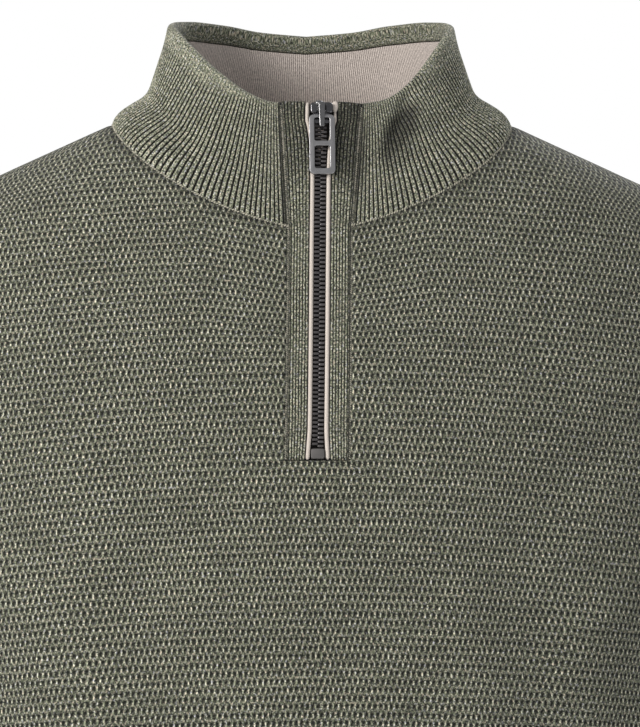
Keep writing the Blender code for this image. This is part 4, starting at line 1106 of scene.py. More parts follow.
def make_cuff(name, side):
    numbers, height = rib_line(CUFF_RIBS)
    end = beyond(CUFF[-2], CUFF[-1])
    grid = tube(CUFF, SLEEVE[-2], end, CUFF_ROWS // 3, numbers[:-1] / CUFF_RIBS)[0]
    grid = add_lines(add_lines(grid, -1, -1), 0, 1)
    inward = grid_inward(grid, True, grid.mean(axis=1, keepdims=True))
    down = lengths(grid[:, 0])[:, None]
    relief = CUFF_RIB_HEIGHT * (height[None, :-1] - BAND_RIB_LEVEL)
    pitch = 2 * math.pi * CUFF[1].deep / CUFF_RIBS
    places, ribs = grid_pairs(numbers[None] * pitch, -down), grid_pairs(numbers[None], -down)
    points = on_side(draw_in_rings(grid, inward, (0,)), side)
    inward = on_side(inward, side)
    return make_band(name, points, inward, relief, down, down[-1] - down, places, ribs, True)


# Collar, facing and placket


def rim_point(x=None, degrees=None):
    if degrees is None:
        degrees = np.degrees(np.arcsin(np.clip(np.asarray(x, float) / RIM_HALF_WIDTH, -1, 1)))
    angle = np.radians(degrees)
    depth = np.where(np.cos(angle) > 0, RIM_FRONT, RIM_BACK)
    z = smooth(np.abs(degrees), RIM, "z", key="degrees")
    return np.stack([RIM_HALF_WIDTH * np.sin(angle), -depth * np.cos(angle), z], axis=-1)


def creep(share):
    """The ribs lean: their feet run ahead of their tops on the front."""
    return share + RIB_CREEP * np.sin(np.pi * share)


def collar_half(side, place, along, feet):
    """Points of half the collar and directions on its seam. place is 0 at the placket, 1 at the
    side and 2 at the back centre, and feet moves a rib's foot along the seam."""
    front, back = place[place <= 1], place[place > 1]
    lines = neck_curve(placket_edge(side), False, feet(front)), neck_curve(0.0, True, 2 - back)
    degrees = np.concatenate(lines, axis=1)
    base = body_point(side * degrees[0], degrees[1])
    first = PLACKET_HALF_TOP + SEAM_GAP + side * float(zip_middle(RIM[0].z))
    start = math.degrees(math.asin(first / RIM_HALF_WIDTH))
    quarters = ((start, 90 - start, front), (90, 90, back - 1))
    rim = np.concatenate([
        at_shares(rim_point(degrees=side * np.linspace(low, low + span, RIM_STEPS)), share)
        for low, span, share in quarters
    ])
    near_side = np.clip(1 - np.abs(90 * place - ROLL_PEAK_DEGREES) / ROLL_SPREAD_DEGREES, 0, 1)
    share = ROLL_LEAST + (1 - ROLL_LEAST) * near_side**ROLL_POWER
    plain = np.asarray(along)[:, None]
    out = smooth(plain, COLLAR_ROLL, "out", key="along") * share + (1 - plain) * (1 - share)
    up = smooth(plain, COLLAR_ROLL, "up", key="along") * share + plain * (1 - share)
    face = rim + (base - rim) * out[..., None]
    face[..., 2] = base[:, 2] + (rim[:, 2] - base[:, 2]) * up
    return face, body_inward(side * degrees[0], degrees[1])


def whole_collar(along, place, feet=np.asarray):
    """The collar's face and directions inwards, from the right of the placket round the back."""
    right, right_in = collar_half(-1, place, along, feet)
    left, left_in = collar_half(1, place, along, feet)
    face = joined(right, left[:, ::-1][:, 1:], axis=1)
    body_in = joined(right_in, left_in[::-1][1:])
    return face, grid_inward(face, False, face * np.array([0.0, 0.0, 1.0])), body_in


def neck_directions():
    """The directions inwards that the collar shares with the panels, by back and side."""
    _, inward, body_in = whole_collar(COLLAR_ALONG, np.linspace(0, 2, 2 * NECK_COLUMNS + 1))
    shared = unit(inward[0] + body_in)
    n = NECK_COLUMNS
    front = {-1: shared[: n + 1], 1: shared[3 * n :][::-1]}
    back = {-1: shared[n : 2 * n + 1][::-1], 1: shared[2 * n : 3 * n + 1]}
    return {False: front, True: back}


def both_halves(values):
    """Values from the placket to the back centre, carried on to the placket's other side."""
    return joined(values, values[::-1][1:])


def sag(points):
    """The collar's top sags beside the zip on the wearer's left."""
    place, width, height = SAG
    share = np.exp(-(((points[..., 0] - place) / width) ** 2)) * ramp(*SAG_Z, points[..., 2])
    moved = points.copy()
    moved[..., 2] += height * share * (points[..., 1] < 0)
    return moved


def collar_directions(neck_in, front, share):
    """The directions shared with the panels, at each place along the collar's seam."""
    halves = []
    for side in (-1, 1):
        ends = [between(share, evenly(NECK_COLUMNS), neck_in[back][side]) for back in (False, True)]
        halves.append(unit(np.where(front[:, None], *ends)))
    return joined(halves[0], halves[1][::-1][1:])


def rim_caps(face, inward, relief):
    """The collar's rounded top, from its face over to its inside, with its ribs on the face."""
    upward = unit(face[-1] - face[-3])
    into = unit(inward[-1] - upward * np.sum(inward[-1] * upward, axis=-1, keepdims=True))
    half = RIM_THICKNESS / 2
    caps = []
    for turn in map(math.radians, RIM_CAP_DEGREES):
        lift = upward * math.sin(turn) * half + into * half * (1 - math.cos(turn))
        ribbed = relief * max(math.cos(turn), 0)
        caps.append(face[-1] + lift - inward[-1] * ribbed[:, None])
    middle = len(caps) // 2
    return np.stack(caps[:middle]), np.stack(caps[middle:][::-1])


def make_collar(neck_in):
    numbers, height = rib_line(FRONT_RIBS + BACK_RIBS)
    front = numbers <= FRONT_RIBS
    near, far = RIB_CROWDING
    turned, past = numbers / FRONT_RIBS, (numbers - FRONT_RIBS) / BACK_RIBS
    place = np.where(front, turned * (1 - near + near * turned), 1 + past * (1 + far - far * past))
    over = joined(COLLAR_LOW_ROWS, np.linspace(COLLAR_EVEN_FROM, RIM_ALONG, COLLAR_ROWS))
    inside = np.linspace(0, FOLD_ALONG - FOLD_CLEAR, COLLAR_INNER_ROWS)
    inner = [(along, KNIT) for along in inside]
    inner = np.array(inner + [(FOLD_ALONG + up, depth) for up, depth in FOLD_EDGE])
    every = np.unique(joined(over, inner[:, 0]))
    face, inward, _ = whole_collar(every, place, creep)
    shared = collar_directions(neck_in, front, np.where(front, creep(place), 2 - place))
    inward = share_border(face, inward, 0, shared)
    face = draw_in(face, inward, (0,), (0, -1))
    steps = np.linalg.norm(np.diff(face, axis=0), axis=2)
    up_to = joined(np.zeros((1, face.shape[1])), np.cumsum(steps, axis=0))
    place, height, number = both_halves(place), both_halves(height), both_halves(numbers)
    across = number * RIB_PITCH * (1 - RIB_CROWDING[0])
    number = (numbers[-1] - number) * np.where(np.arange(len(number)) < len(numbers), 1, -1)
    rows = np.searchsorted(every, over)
    later = RIB_FADE_LATER * (1 - ramp(*RIB_FADE_PLACES, place))
    fade = 1 - ramp(RIB_FADE + later, 1.0, over[:, None])
    strength = RIB_LEAST + (1 - RIB_LEAST) * fade
    x, y, z = (face[rows][..., k] for k in range(3))
    out = settings().rib_height / MM * strength * (height[None] - COLLAR_RIB_LEVEL)
    out = out + folds(x, z, COLLAR_FOLDS) * (y < 0)
    roll = np.maximum(rolled(up_to[rows]), rolled(across, COLLAR_END_ROLL)[None])
    outer = face[rows] - inward[rows] * (out - roll)[..., None]
    picked = np.searchsorted(every, inner[:, 0])
    under = face[picked] + inward[picked] * inner[:, 1][:, None, None]
    outer_cap, under_cap = rim_caps(face, inward, out[-1])
    outer, under = joined(outer, outer_cap), joined(under, under_cap)
    count = len(outer_cap)
    far = up_to[-1] + np.arange(1, count + 1)[:, None] * RIM_THICKNESS / 2 * math.pi / (2 * count)
    climb = joined(up_to[rows], far)
    # painted shade on the ribs in the creases and beside the placket
    crease = folds(x, z, COLLAR_CREASE) * (y < 0)
    strength = strength + (DARK_CREASE - strength) * np.clip(crease, 0, 1)
    strength = joined(strength, strength[-1:].repeat(count, axis=0))
    beside = DARK_EDGE * (1 - ramp(*COLLAR_DARK_REACH, across))
    # the inner face, at 0, gets painted shade all over
    fields = {"rib_strength": (np.maximum(strength, beside[None]), np.zeros(under.shape[:2]))}
    knit, ribs = grid_pairs(number[None] * RIB_PITCH, climb), grid_pairs(number[None], climb)
    return shell("collar_cloth", sag(outer), sag(under), knit, ribs=ribs, fields=fields)


def make_facing():
    """The jersey inside the collar, from its turned-over top down to the neck seam."""
    place = np.linspace(0, 2, FACING_COLUMNS + 1)
    along = np.linspace(COLLAR_ALONG[1], FOLD_ALONG - FACING_CLEAR, FACING_ROWS)
    face, inward, _ = whole_collar(along, place)
    face = draw_in(face, inward, (), (0, -1), by=2 * SEAM_GAP)
    outer = face + inward * (KNIT + FACING_GAP)
    across = lengths(face[len(along) // 2])
    up_to = np.cumsum(np.linalg.norm(np.diff(face, axis=0, prepend=face[:1]), axis=2), axis=0)
    places = grid_pairs(across[None], up_to)
    return shell("facing_cloth", sag(outer), sag(outer + inward * FACING), places)


def placket_outer(z):
    rise = np.clip((np.asarray(z, float) + NECK_DROP_FRONT) / (NECK_DROP_FRONT + RIM[0].z), 0, 1)
    return PLACKET_HALF + (PLACKET_HALF_TOP - PLACKET_HALF) * rise


def trim_inner(z):
    return smooth(z, TRIM_SPREAD, "half_gap")


def placket_inner(z):
    return trim_inner(z) + TRIM_WIDTH + SEAM_GAP


def centre_face(x, z):
    """Points of the placket's face, and directions inwards, near the front centre."""
    x, z = np.broadcast_arrays(np.asarray(x, float), np.asarray(z, float))
    seam_z = neckline(x)
    low_z = np.minimum(z, seam_z)
    points = body_point(degrees_of(x, low_z), low_z)
    into = body_inward(degrees_of(x, low_z), low_z)
    top = rim_point(x=x)
    share = np.clip((z - seam_z) / (top[..., 2] - seam_z), 0, None)[..., None]
    above = points + (top - points) * share
    lean = unit(np.cross(top - points, rim_point(x=x + 1) - rim_point(x=x - 1)))
    lean = lean * np.where(lean[..., 1:2] < 0, -1, 1)
    turn = ramp(-SEAM_BLEND, SEAM_BLEND, z - seam_z)[..., None]
    return np.where((z > seam_z)[..., None], above, points), unit(into * (1 - turn) + lean * turn)


def strip(side, inner, outer, shares, heights):
    """A grid up one side of the zip. inner and outer are its edges' distances from the zip's
    middle, at each of the heights."""
    across = inner[:, None] + np.asarray(shares)[None] * (outer - inner)[:, None]
    return centre_face(zip_middle(heights)[:, None] + side * across, heights[:, None])


def make_placket(side, name):
    numbers, height = rib_line(PLACKET_RIBS, FLAT_RIB)
    heights = stretch(ZIP_BOTTOM_Z, RIM[0].z, PLACKET_ROWS)
    low, high, up = placket_inner(heights), placket_outer(heights), heights[:, None]
    points, inward = strip(side, low, high, numbers / PLACKET_RIBS, heights)
    from_zip = (high - low)[:, None] * numbers[None] / PLACKET_RIBS
    from_seam = (high - low)[:, None] - from_zip
    top = rolled(RIM[0].z - up, PLACKET_TOP_ROLL)
    roll = np.maximum(rolled(from_seam, PLACKET_OUTER_ROLL), rolled(from_zip, PLACKET_INNER_ROLL))
    roll = np.maximum(np.maximum(roll, rolled(up - ZIP_BOTTOM_Z)), top)
    calm = smooth(up, PLACKET_RELIEF, "height")
    out = calm * (height[None] - PLACKET_RIB_LEVEL) - roll
    knit, ribs = grid_pairs(numbers[None] * PLACKET_PITCH, up), grid_pairs(numbers[None], up)
    outer, under = points - inward * out[..., None], points + inward * (KNIT - top)[..., None]
    strength = np.broadcast_to(calm / PLACKET_RELIEF[-1].height, out.shape)
    # painted shade at the bands' tops and beside the seam
    strength = strength + (DARK_TOP[side] - strength) * ramp(*DARK_TOP_Z, up)
    beside = DARK_EDGE * (1 - ramp(*PLACKET_DARK_REACH, from_seam))
    # the inner face, at 0, gets painted shade all over
    fields = {"rib_strength": (np.maximum(strength, beside), 0 * out)}
    return shell(name, sag(outer), sag(under), knit, ribs=ribs, fields=fields)


def make_tape(side, name):
    heights = np.linspace(ZIP_BOTTOM_Z, RIM[0].z - TAPE_SHORT, TAPE_ROWS)
    inner = np.where(heights > TAPE_SLIDER_Z, SLIDER_POST[0] / 2 + SEAM_GAP, SEAM_GAP)
    outer = np.full(len(heights), TAPE_HALF)
    points, inward = strip(side, inner, outer, evenly(TAPE_COLUMNS), heights)
    face = points + inward * TAPE_DEPTH
    places = grid_pairs(evenly(TAPE_COLUMNS)[None] * TAPE_HALF, heights[:, None])
    return shell(name, face, face + inward * TAPE, places)


def make_trim(side, name, widths):
    """Round piping beside the teeth, which ends in a point or a bulb at the top."""
    heights = joined(
        ZIP_BOTTOM_Z + np.array(TRIM_FOOT),
        np.linspace(ZIP_BOTTOM_Z + 2, -1, TRIM_ROWS),
        np.linspace(0, widths[-1].z, TRIM_TOP_ROWS),
    )
    middle = trim_inner(heights) + TRIM_WIDTH / 2
    half = smooth(heights, widths, "width") / 2
    shares = (1 - np.cos(np.linspace(0, math.pi, TRIM_COLUMNS + 1))) / 2
    points, inward = strip(side, middle - half, middle + half, shares, heights)
    round_half = np.minimum(TRIM_HALF_DEPTH, half * TRIM_ROUNDNESS)[:, None]
    bulge = round_half * np.sqrt(np.clip(1 - (2 * shares[None] - 1) ** 2, 0, 1))
    outer = points + inward * (TRIM_MIDDLE_DEPTH - bulge)[..., None]
    under = points + inward * (TRIM_MIDDLE_DEPTH + TRIM_EDGE + bulge)[..., None]
    return shell(name, outer, under, grid_pairs(shares[None] * TRIM_WIDTH, heights[:, None]))


def armhole_directions(shared, turns):
    """The directions shared with a sleeve at equal distances up each panel's armhole, by back."""
    looped, turns = joined(shared, shared[:1]), np.append(turns, 1.0)
    share = evenly(ARM_ROWS)
    return {
        back: unit(between(at, turns, looped))
        for back, at in ((False, (1 - share) / 2), (True, (1 + share) / 2))
    }


def make_sleeve(name, side, grids, turns):
    """One sleeve, whose only seam is under the arm."""
    grid, inward, _, girth, down = grids
    whole = girth[:, -1:]
    signed = np.where(turns <= 0.5, girth[:, :-1], girth[:, :-1] - whole)
    underarm = np.abs(turns - 0.5)
    below, above = (np.linalg.norm(grid - grid[end], axis=-1) for end in (0, -1))
    drape = SLEEVE_DRAPE * folds(signed, down - down[0].max(), SLEEVE_FOLDS)
    drape = drape * ramp(0, SLEEVE_HEAD_CALM, below) * ramp(*CUFF_CALM, above)
    swell = CUFF_SWELL * ramp(*CUFF_SWELL_REACH, above) * ramp(*CUFF_SWELL_START, above)
    drape = drape * ramp(0, UNDERARM_CALM, underarm) + swell
    roll = np.maximum(rolled(below), rolled(underarm * girth[0, -1])[None])
    roll = np.maximum(roll, rolled(above, RIB_SEAM_ROLL))
    cloth = draw_in_rings(grid, inward, (0, -1)) - inward * drape[..., None]
    first = int(np.argmin(underarm))
    order = np.roll(np.arange(len(turns)), -first)
    looped = np.append(order, first)
    u, v = signed[:, looped], down[:, looped]
    u[:, 0] -= whole[:, 0]
    outer, under = (cloth + inward * roll[..., None])[:, order], (cloth + inward * KNIT)[:, order]
    return shell(name, on_side(outer, side), on_side(under, side), grid_pairs(u, -v), closed=True)


# Zip hardware, in a frame that lies on the placket: x to the wearer's right, y down the zip and
# z straight out


def zip_frame(z, depth=0.0):
    point, into = centre_face(zip_middle(z), z)
    out = Vector((0, -into[1], -into[2])).normalized()
    down = Vector((1, 0, 0)).cross(out).normalized()
    across = down.cross(out)
    turn = Matrix((across, down, out)).transposed().to_4x4()
    return Matrix.Translation((Vector(point) - out * depth) * MM) @ turn


def deselect():
    for item in bpy.context.selected_objects:
        item.select_set(False)


def select_only(piece):
    deselect()
    piece.select_set(True)
    bpy.context.view_layer.objects.active = piece


def place_mesh(piece, matrix):
    """Puts a piece in its place, with its object at the origin."""
    piece.matrix_world = matrix
    select_only(piece)
    bpy.ops.object.transform_apply(location=True, rotation=True, scale=True)


def block(name, across, along, out):
    """A block between limits in millimetres on each axis."""
    deselect()
    limits = (across, along, out)
    middle = [(low + high) / 2 * MM for low, high in limits]
    size = [(high - low) * MM for low, high in limits]
    bpy.ops.mesh.primitive_cube_add(size=1, location=middle, scale=size)
    made = bpy.context.active_object
    made.name = name
    bpy.ops.object.transform_apply(location=True, rotation=False, scale=True)
    return made


def open_edit(piece, faces=None, edges=None):
    """Goes into edit mode with the faces or edges selected that a test picks."""
    select_only(piece)
    bpy.ops.object.mode_set(mode="EDIT")
    bpy.ops.mesh.select_mode(type="FACE" if faces else "EDGE")
    bpy.ops.mesh.select_all(action="DESELECT")
    mesh = bmesh.from_edit_mesh(piece.data)
    for part in mesh.faces if faces else mesh.edges:
        if (faces or edges)(part):
            part.select_set(True)
    mesh.select_flush_mode()
    bmesh.update_edit_mesh(piece.data)


def close_edit():
    bpy.ops.object.mode_set(mode="OBJECT")


def modify(piece, kind, **values):
    step = piece.modifiers.new(kind.title(), kind)
    for name, value in values.items():
        setattr(step, name, value)
    select_only(piece)
    bpy.ops.object.modifier_apply(modifier=step.name)


def join_solid(piece, other, operation="UNION"):
    modify(piece, "BOOLEAN", operation=operation, object=other, solver="EXACT",
           material_mode="TRANSFER")
    bpy.data.objects.remove(other, do_unlink=True)


def soften(piece, width, segments=2, angle=40):
    """Rounds a hard piece's edges and shades it."""
    modify(piece, "BEVEL", width=width * MM, segments=segments, limit_method="ANGLE",
           angle_limit=math.radians(angle), harden_normals=False)
    select_only(piece)
    bpy.ops.object.shade_smooth_by_angle(angle=math.radians(METAL_SHARP_DEGREES))


def round_corners(piece, radius, segments=5):
    """Rounds the four edges of a block that stand square to the placket."""
    open_edit(piece, edges=lambda e: abs((e.verts[0].co - e.verts[1].co).normalized().z) > 0.9)
    bpy.ops.mesh.bevel(offset=radius * MM, segments=segments, affect="EDGES")
    close_edit()


def casting(name, limits, corner, edge, corner_steps=4, edge_steps=2):
    """A block with round corners and softened edges, from its limits on each axis."""
    made = block(name, *limits)
    round_corners(made, corner, corner_steps)
    soften(made, edge, edge_steps)
    return made


def around(half):
    return -half, half


def make_tooth():
    """One tooth of the left row. Its nose points to the middle of the zip."""
    depth = (CHAIN_DEPTHS[1] - CHAIN_DEPTHS[0]) / 2
    tooth = block("tooth", (-CHAIN_HALF, -TOOTH_FOOT), around(TOOTH_HALF), around(depth))
    nose = Vector((-TOOTH_FOOT * MM, 0, 0))
    open_edit(tooth, faces=lambda f: f.normal.x > 0.9)
    bpy.ops.mesh.extrude_region_move(TRANSFORM_OT_translate={"value": (TOOTH_NOSE * MM, 0, 0)})
    bpy.ops.transform.resize(value=TOOTH_TAPER, center_override=nose)
    close_edit()
    modify(tooth, "BEVEL", width=TOOTH_BEVEL * MM, segments=1, limit_method="ANGLE",
           angle_limit=math.radians(50))
    return tooth


def make_teeth():
    """Both rows of teeth, closed, from above the stop to the slider."""
    tooth = make_tooth()
    low = ZIP_BOTTOM_Z + STOP_SIZE[1] + 2 * SEAM_GAP + TOOTH_PITCH / 2
    high = RIM[0].z - SLIDER_TOP_GAP - SLIDER_POST_FROM_TOP - SLIDER_POST[1] - 2 * SEAM_GAP
    depth = sum(CHAIN_DEPTHS) / 2
    frames = []
    for k, z in enumerate(np.arange(low, high - TOOTH_PITCH / 2, TOOTH_PITCH / 2)):
        turn = Matrix.Rotation(math.pi * (k % 2), 4, "Z")
        frames.append(np.array(zip_frame(z, depth) @ turn))
    data = copies("teeth", tooth.data, np.stack(frames))
    data.set_sharp_from_angle(angle=math.radians(TOOTH_SHARP_DEGREES))
    bpy.data.objects.remove(tooth, do_unlink=True)
    return add_piece("teeth", data)


def make_stop():
    width, height, depth = STOP_SIZE
    limits = around(width / 2), around(height / 2), (STOP_PROUD - depth, STOP_PROUD + 0.1)
    stop = casting("bottom_stop", limits, corner=0.9, edge=0.35, corner_steps=3)
    place_mesh(stop, zip_frame(ZIP_BOTTOM_Z + height / 2 + SEAM_GAP))
    return stop


def slider_levels():
    front_low = -CHAIN_DEPTHS[0] + SEAM_GAP
    back_high = -(TAPE_DEPTH + TAPE + SEAM_GAP + SLIDER_BACK_CLEAR)
    return front_low, front_low + SLIDER_PLATE, back_high - SLIDER_PLATE, back_high


def make_bridge(low, high, light):
    """The hollow arch that the pull's bar hangs in. It narrows down the zip."""
    start, end = BRIDGE_FROM_TOP
    along = start - BRIDGE_FEET[0], end + BRIDGE_FEET[1]
    bridge = block("bridge", around(BRIDGE_HALF), along, (low + 0.3, high + BRIDGE_PROUD))
    bridge.data.materials.append(light)
    open_edit(bridge, faces=lambda f: f.normal.y > 0.9)
    bpy.ops.transform.resize(value=(0.7, 1, 0.8), center_override=(0, end * MM, low * MM))
    close_edit()
    hollow = (start + BRIDGE_WALL, end - BRIDGE_WALL)
    inside = block("bridge_inside", around(3), hollow, (high, high + BRIDGE_ROOM))
    soften(bridge, 0.45, 3, 30)
    join_solid(bridge, inside, "DIFFERENCE")
    return bridge


def make_crown(high, light):
    """The round end that stands over the top of the bridge."""
    x, y, z = CROWN_PLACE
    bpy.ops.mesh.primitive_uv_sphere_add(
        segments=20, ring_count=10, location=(x * MM, y * MM, (high + z) * MM),
        scale=[size * MM for size in CROWN_SIZE],
    )
    crown = bpy.context.active_object
    bpy.ops.object.transform_apply(location=True, rotation=False, scale=True)
    crown.data.materials.append(light)
    return crown


def make_slider(dark, light):
    """Two round shoulders on a plate, the bridge over the pull's bar, and the back plate."""
    low, high, back_low, back_high = slider_levels()
    limits = around(PLATE_HALF), (SLIDER_START, SLIDER_LENGTH), (low, high)
    plate = casting("slider", limits, corner=1.2, edge=0.3)
    plate.data.materials.append(dark)
    for side, _ in reversed(SIDES):
        across = sorted(side * limit for limit in SHOULDER_ACROSS)
        limits = across, SHOULDER_FROM_TOP, (low, high + SHOULDER_PROUD)
        join_solid(plate, casting("shoulder", limits, 1.7, 1.05, corner_steps=5, edge_steps=5))
    # the bridge and crown take the lighter copy of the metal, painted light
    join_solid(plate, make_bridge(low, high, light))
    join_solid(plate, make_crown(high, light))
    along = SLIDER_START, SLIDER_LENGTH - SLIDER_BACK_SHORT
    limits = around(SLIDER_BACK_HALF), along, (back_low, back_high)
    back = casting("slider_back", limits, corner=1.6, edge=0.3)
    along = SLIDER_POST_FROM_TOP, SLIDER_POST_FROM_TOP + SLIDER_POST[1]
    out = back_high - JOINED, low + JOINED
    join_solid(plate, block("post", around(SLIDER_POST[0] / 2), along, out))
    join_solid(plate, back)
    select_only(plate)
    bpy.ops.object.shade_smooth_by_angle(angle=math.radians(METAL_SHARP_DEGREES))
    modify(plate, "WEIGHTED_NORMAL", keep_sharp=True)
    place_mesh(plate, zip_frame(RIM[0].z - SLIDER_TOP_GAP))
    return plate


def make_pull():
    """A flat frame with two windows, hung from the bar at its top."""
    start = -PULL_BAR / 2
    along = start, start + PULL_LENGTH
    pull = block("pull", around(PULL_WIDTH / 2), along, around(PULL_THICKNESS / 2))
    round_corners(pull, 2.3)
    for top, length, side in PULL_WINDOWS:
        along = start + top, start + top + length
        window = block("window", around(PULL_WIDTH / 2 - side), along, around(3))
        round_corners(window, 0.9, 4)
        join_solid(pull, window, "DIFFERENCE")
    soften(pull, 0.34, 3)
    high = slider_levels()[1]
    axis = zip_frame(RIM[0].z - SLIDER_TOP_GAP)
    axis = axis @ Matrix.Translation(Vector((0, HINGE_FROM_TOP, high + HINGE_OUT)) * MM)
    place_mesh(pull, axis @ Matrix.Rotation(math.radians(-PULL_TIP_IN_DEGREES), 4, "X"))
    return pull


# Linking stitches


def make_stitch(length, radius):
    """One loop of a linking seam: a short round stitch with narrow ends."""
    deselect()
    bpy.ops.mesh.primitive_cylinder_add(vertices=6, radius=radius * MM, depth=length * 0.5 * MM)
    stitch = bpy.context.active_object
    for end in (1, -1):
        open_edit(stitch, faces=lambda f: f.normal.z * end > 0.9)
        bpy.ops.mesh.extrude_region_move(
            TRANSFORM_OT_translate={"value": (0, 0, end * length * 0.25 * MM)}
        )
        middle = (0, 0, end * length * 0.5 * MM)
        bpy.ops.transform.resize(value=(0.4, 0.4, 1), center_override=middle)
        close_edit()
    return stitch


def seam_stitches(name, lines, size):
    """Stitches along seam lines. Each line is points with the directions inwards there."""
    stitch = make_stitch(size.length, size.radius)
    slant = math.radians(size.lean)
    frames = []
    for points, inward in lines:
        count = int(lengths(points)[-1] / size.pitch)
        places = at_shares(joined(points, inward, axis=1), evenly(count), points)
        at, into = places[:, :3], unit(places[:, 3:])
        tangent = unit(np.gradient(at, axis=0))
        side = unit(np.cross(tangent, into))
        along = unit(tangent * math.cos(slant) + side * math.sin(slant))
        across = unit(np.cross(into, along))
        frames.append(frames_of(at + into * size.depth, across, into, along))
    data = copies(name, stitch.data, np.concatenate(frames))
    bpy.data.objects.remove(stitch, do_unlink=True)
    return add_piece(name, data)


def neck_stitch_line(neck_in, back, side):
    start = 0.0 if back else placket_edge(side)
    degrees, z = neck_curve(start, back, evenly(NECK_COLUMNS))
    return body_point(side * degrees, z), neck_in[back][side]


def placket_stitch_line(side):
    low, high = STITCH_ENDS
    z = np.linspace(ZIP_BOTTOM_Z + low, RIM[0].z - high, STITCH_STEPS)
    points, inward = centre_face(zip_middle(z) + side * (placket_outer(z) + SEAM_GAP / 2), z)
    return sag(points), inward


# Shaders


def feed(tree, socket, value):
    if isinstance(value, Signal):
        tree.links.new(value.socket, socket)
    else:
        socket.default_value = value


def node_signal(tree, kind, *values, **choices):
    """Adds a node with its choices set and its first inputs fed, and gives its first output."""
    node = tree.nodes.new("ShaderNode" + kind)
    for name, value in choices.items():
        setattr(node, name, value)
    for socket, value in zip(node.inputs, values):
        feed(tree, socket, value)
    return Signal(tree, node.outputs[0])


class Signal:
    """A value that changes over a surface. Arithmetic on it adds math nodes to its tree."""

    def __init__(self, tree, socket):
        self.tree, self.socket = tree, socket

    def step(self, operation, *others):
        return node_signal(self.tree, "Math", self, *others, operation=operation)

    def __add__(self, other):
        return self.step("ADD", other)

    def __sub__(self, other):
        return self.step("SUBTRACT", other)

    def __mul__(self, other):
        return self.step("MULTIPLY", other)

    def __truediv__(self, other):
        return self.step("DIVIDE", other)

    def away(self, middle=0.0):
        return (self - middle).step("ABSOLUTE")

    def arch(self, power=0.6):
        """0 at 0 and at 1, and 1 half way."""
        return (self * (self * -1 + 1) * 4).step("POWER", power)

    def ramp(self, *limits):
        """0 at the first limit and 1 at the second, or from one number to another."""
        return node_signal(self.tree, "MapRange", self, *limits, interpolation_type="SMOOTHSTEP")


def split(vector):
    first = node_signal(vector.tree, "SeparateXYZ", vector)
    return [Signal(vector.tree, socket) for socket in first.socket.node.outputs]


def stretched(vector, x, y, z=1.0):
    made = node_signal(vector.tree, "Mapping", vector)
    made.socket.node.inputs["Scale"].default_value = (x, y, z)
    return made


def noise(vector, scale, detail=2.0, roughness=0.5):
    made = node_signal(vector.tree, "TexNoise", vector)
    for label, value in (("Scale", scale), ("Detail", detail), ("Roughness", roughness)):
        feed(vector.tree, made.socket.node.inputs[label], value)
    return made


def mixed(tree, share, one, other, blend="MIX"):
    node = tree.nodes.new("ShaderNodeMix")
    node.data_type, node.blend_type = "RGBA", blend
    for number, value in ((0, share), (6, one), (7, other)):
        feed(tree, node.inputs[number], value)
    return Signal(tree, node.outputs[2])


def grey(value):
    """A number as a colour, for a mix that multiplies."""
    return node_signal(value.tree, "CombineColor", value, value, value)


SOCKETS = {"Place": "Vector", "Rib": "Vector"} | dict.fromkeys(
    ("Light", "Middle", "Dark", "Color"), "Color")  # the rest are floats


def shader_group(name, inputs, outputs, fill):
    """Builds a node group once. fill makes its outputs from its inputs."""
    if name in bpy.data.node_groups:
        return
    tree = bpy.data.node_groups.new(name, "ShaderNodeTree")
    inputs, outputs = inputs.split(), outputs.split()
    for way, labels in (("INPUT", inputs), ("OUTPUT", outputs)):
        for label in labels:
            kind = "NodeSocket" + SOCKETS.get(label, "Float")
            tree.interface.new_socket(label, in_out=way, socket_type=kind)
    source, sink = tree.nodes.new("NodeGroupInput"), tree.nodes.new("NodeGroupOutput")
    made = fill(*(Signal(tree, source.outputs[label]) for label in inputs))
    for label, value in zip(outputs, made):
        feed(tree, sink.inputs[label], value)


def use_group(tree, name, **inputs):
    node = tree.nodes.new("ShaderNodeGroup")
    node.node_tree = bpy.data.node_groups[name]
    for label, value in inputs.items():
        feed(tree, node.inputs[label], value)
    return [Signal(tree, socket) for socket in node.outputs]


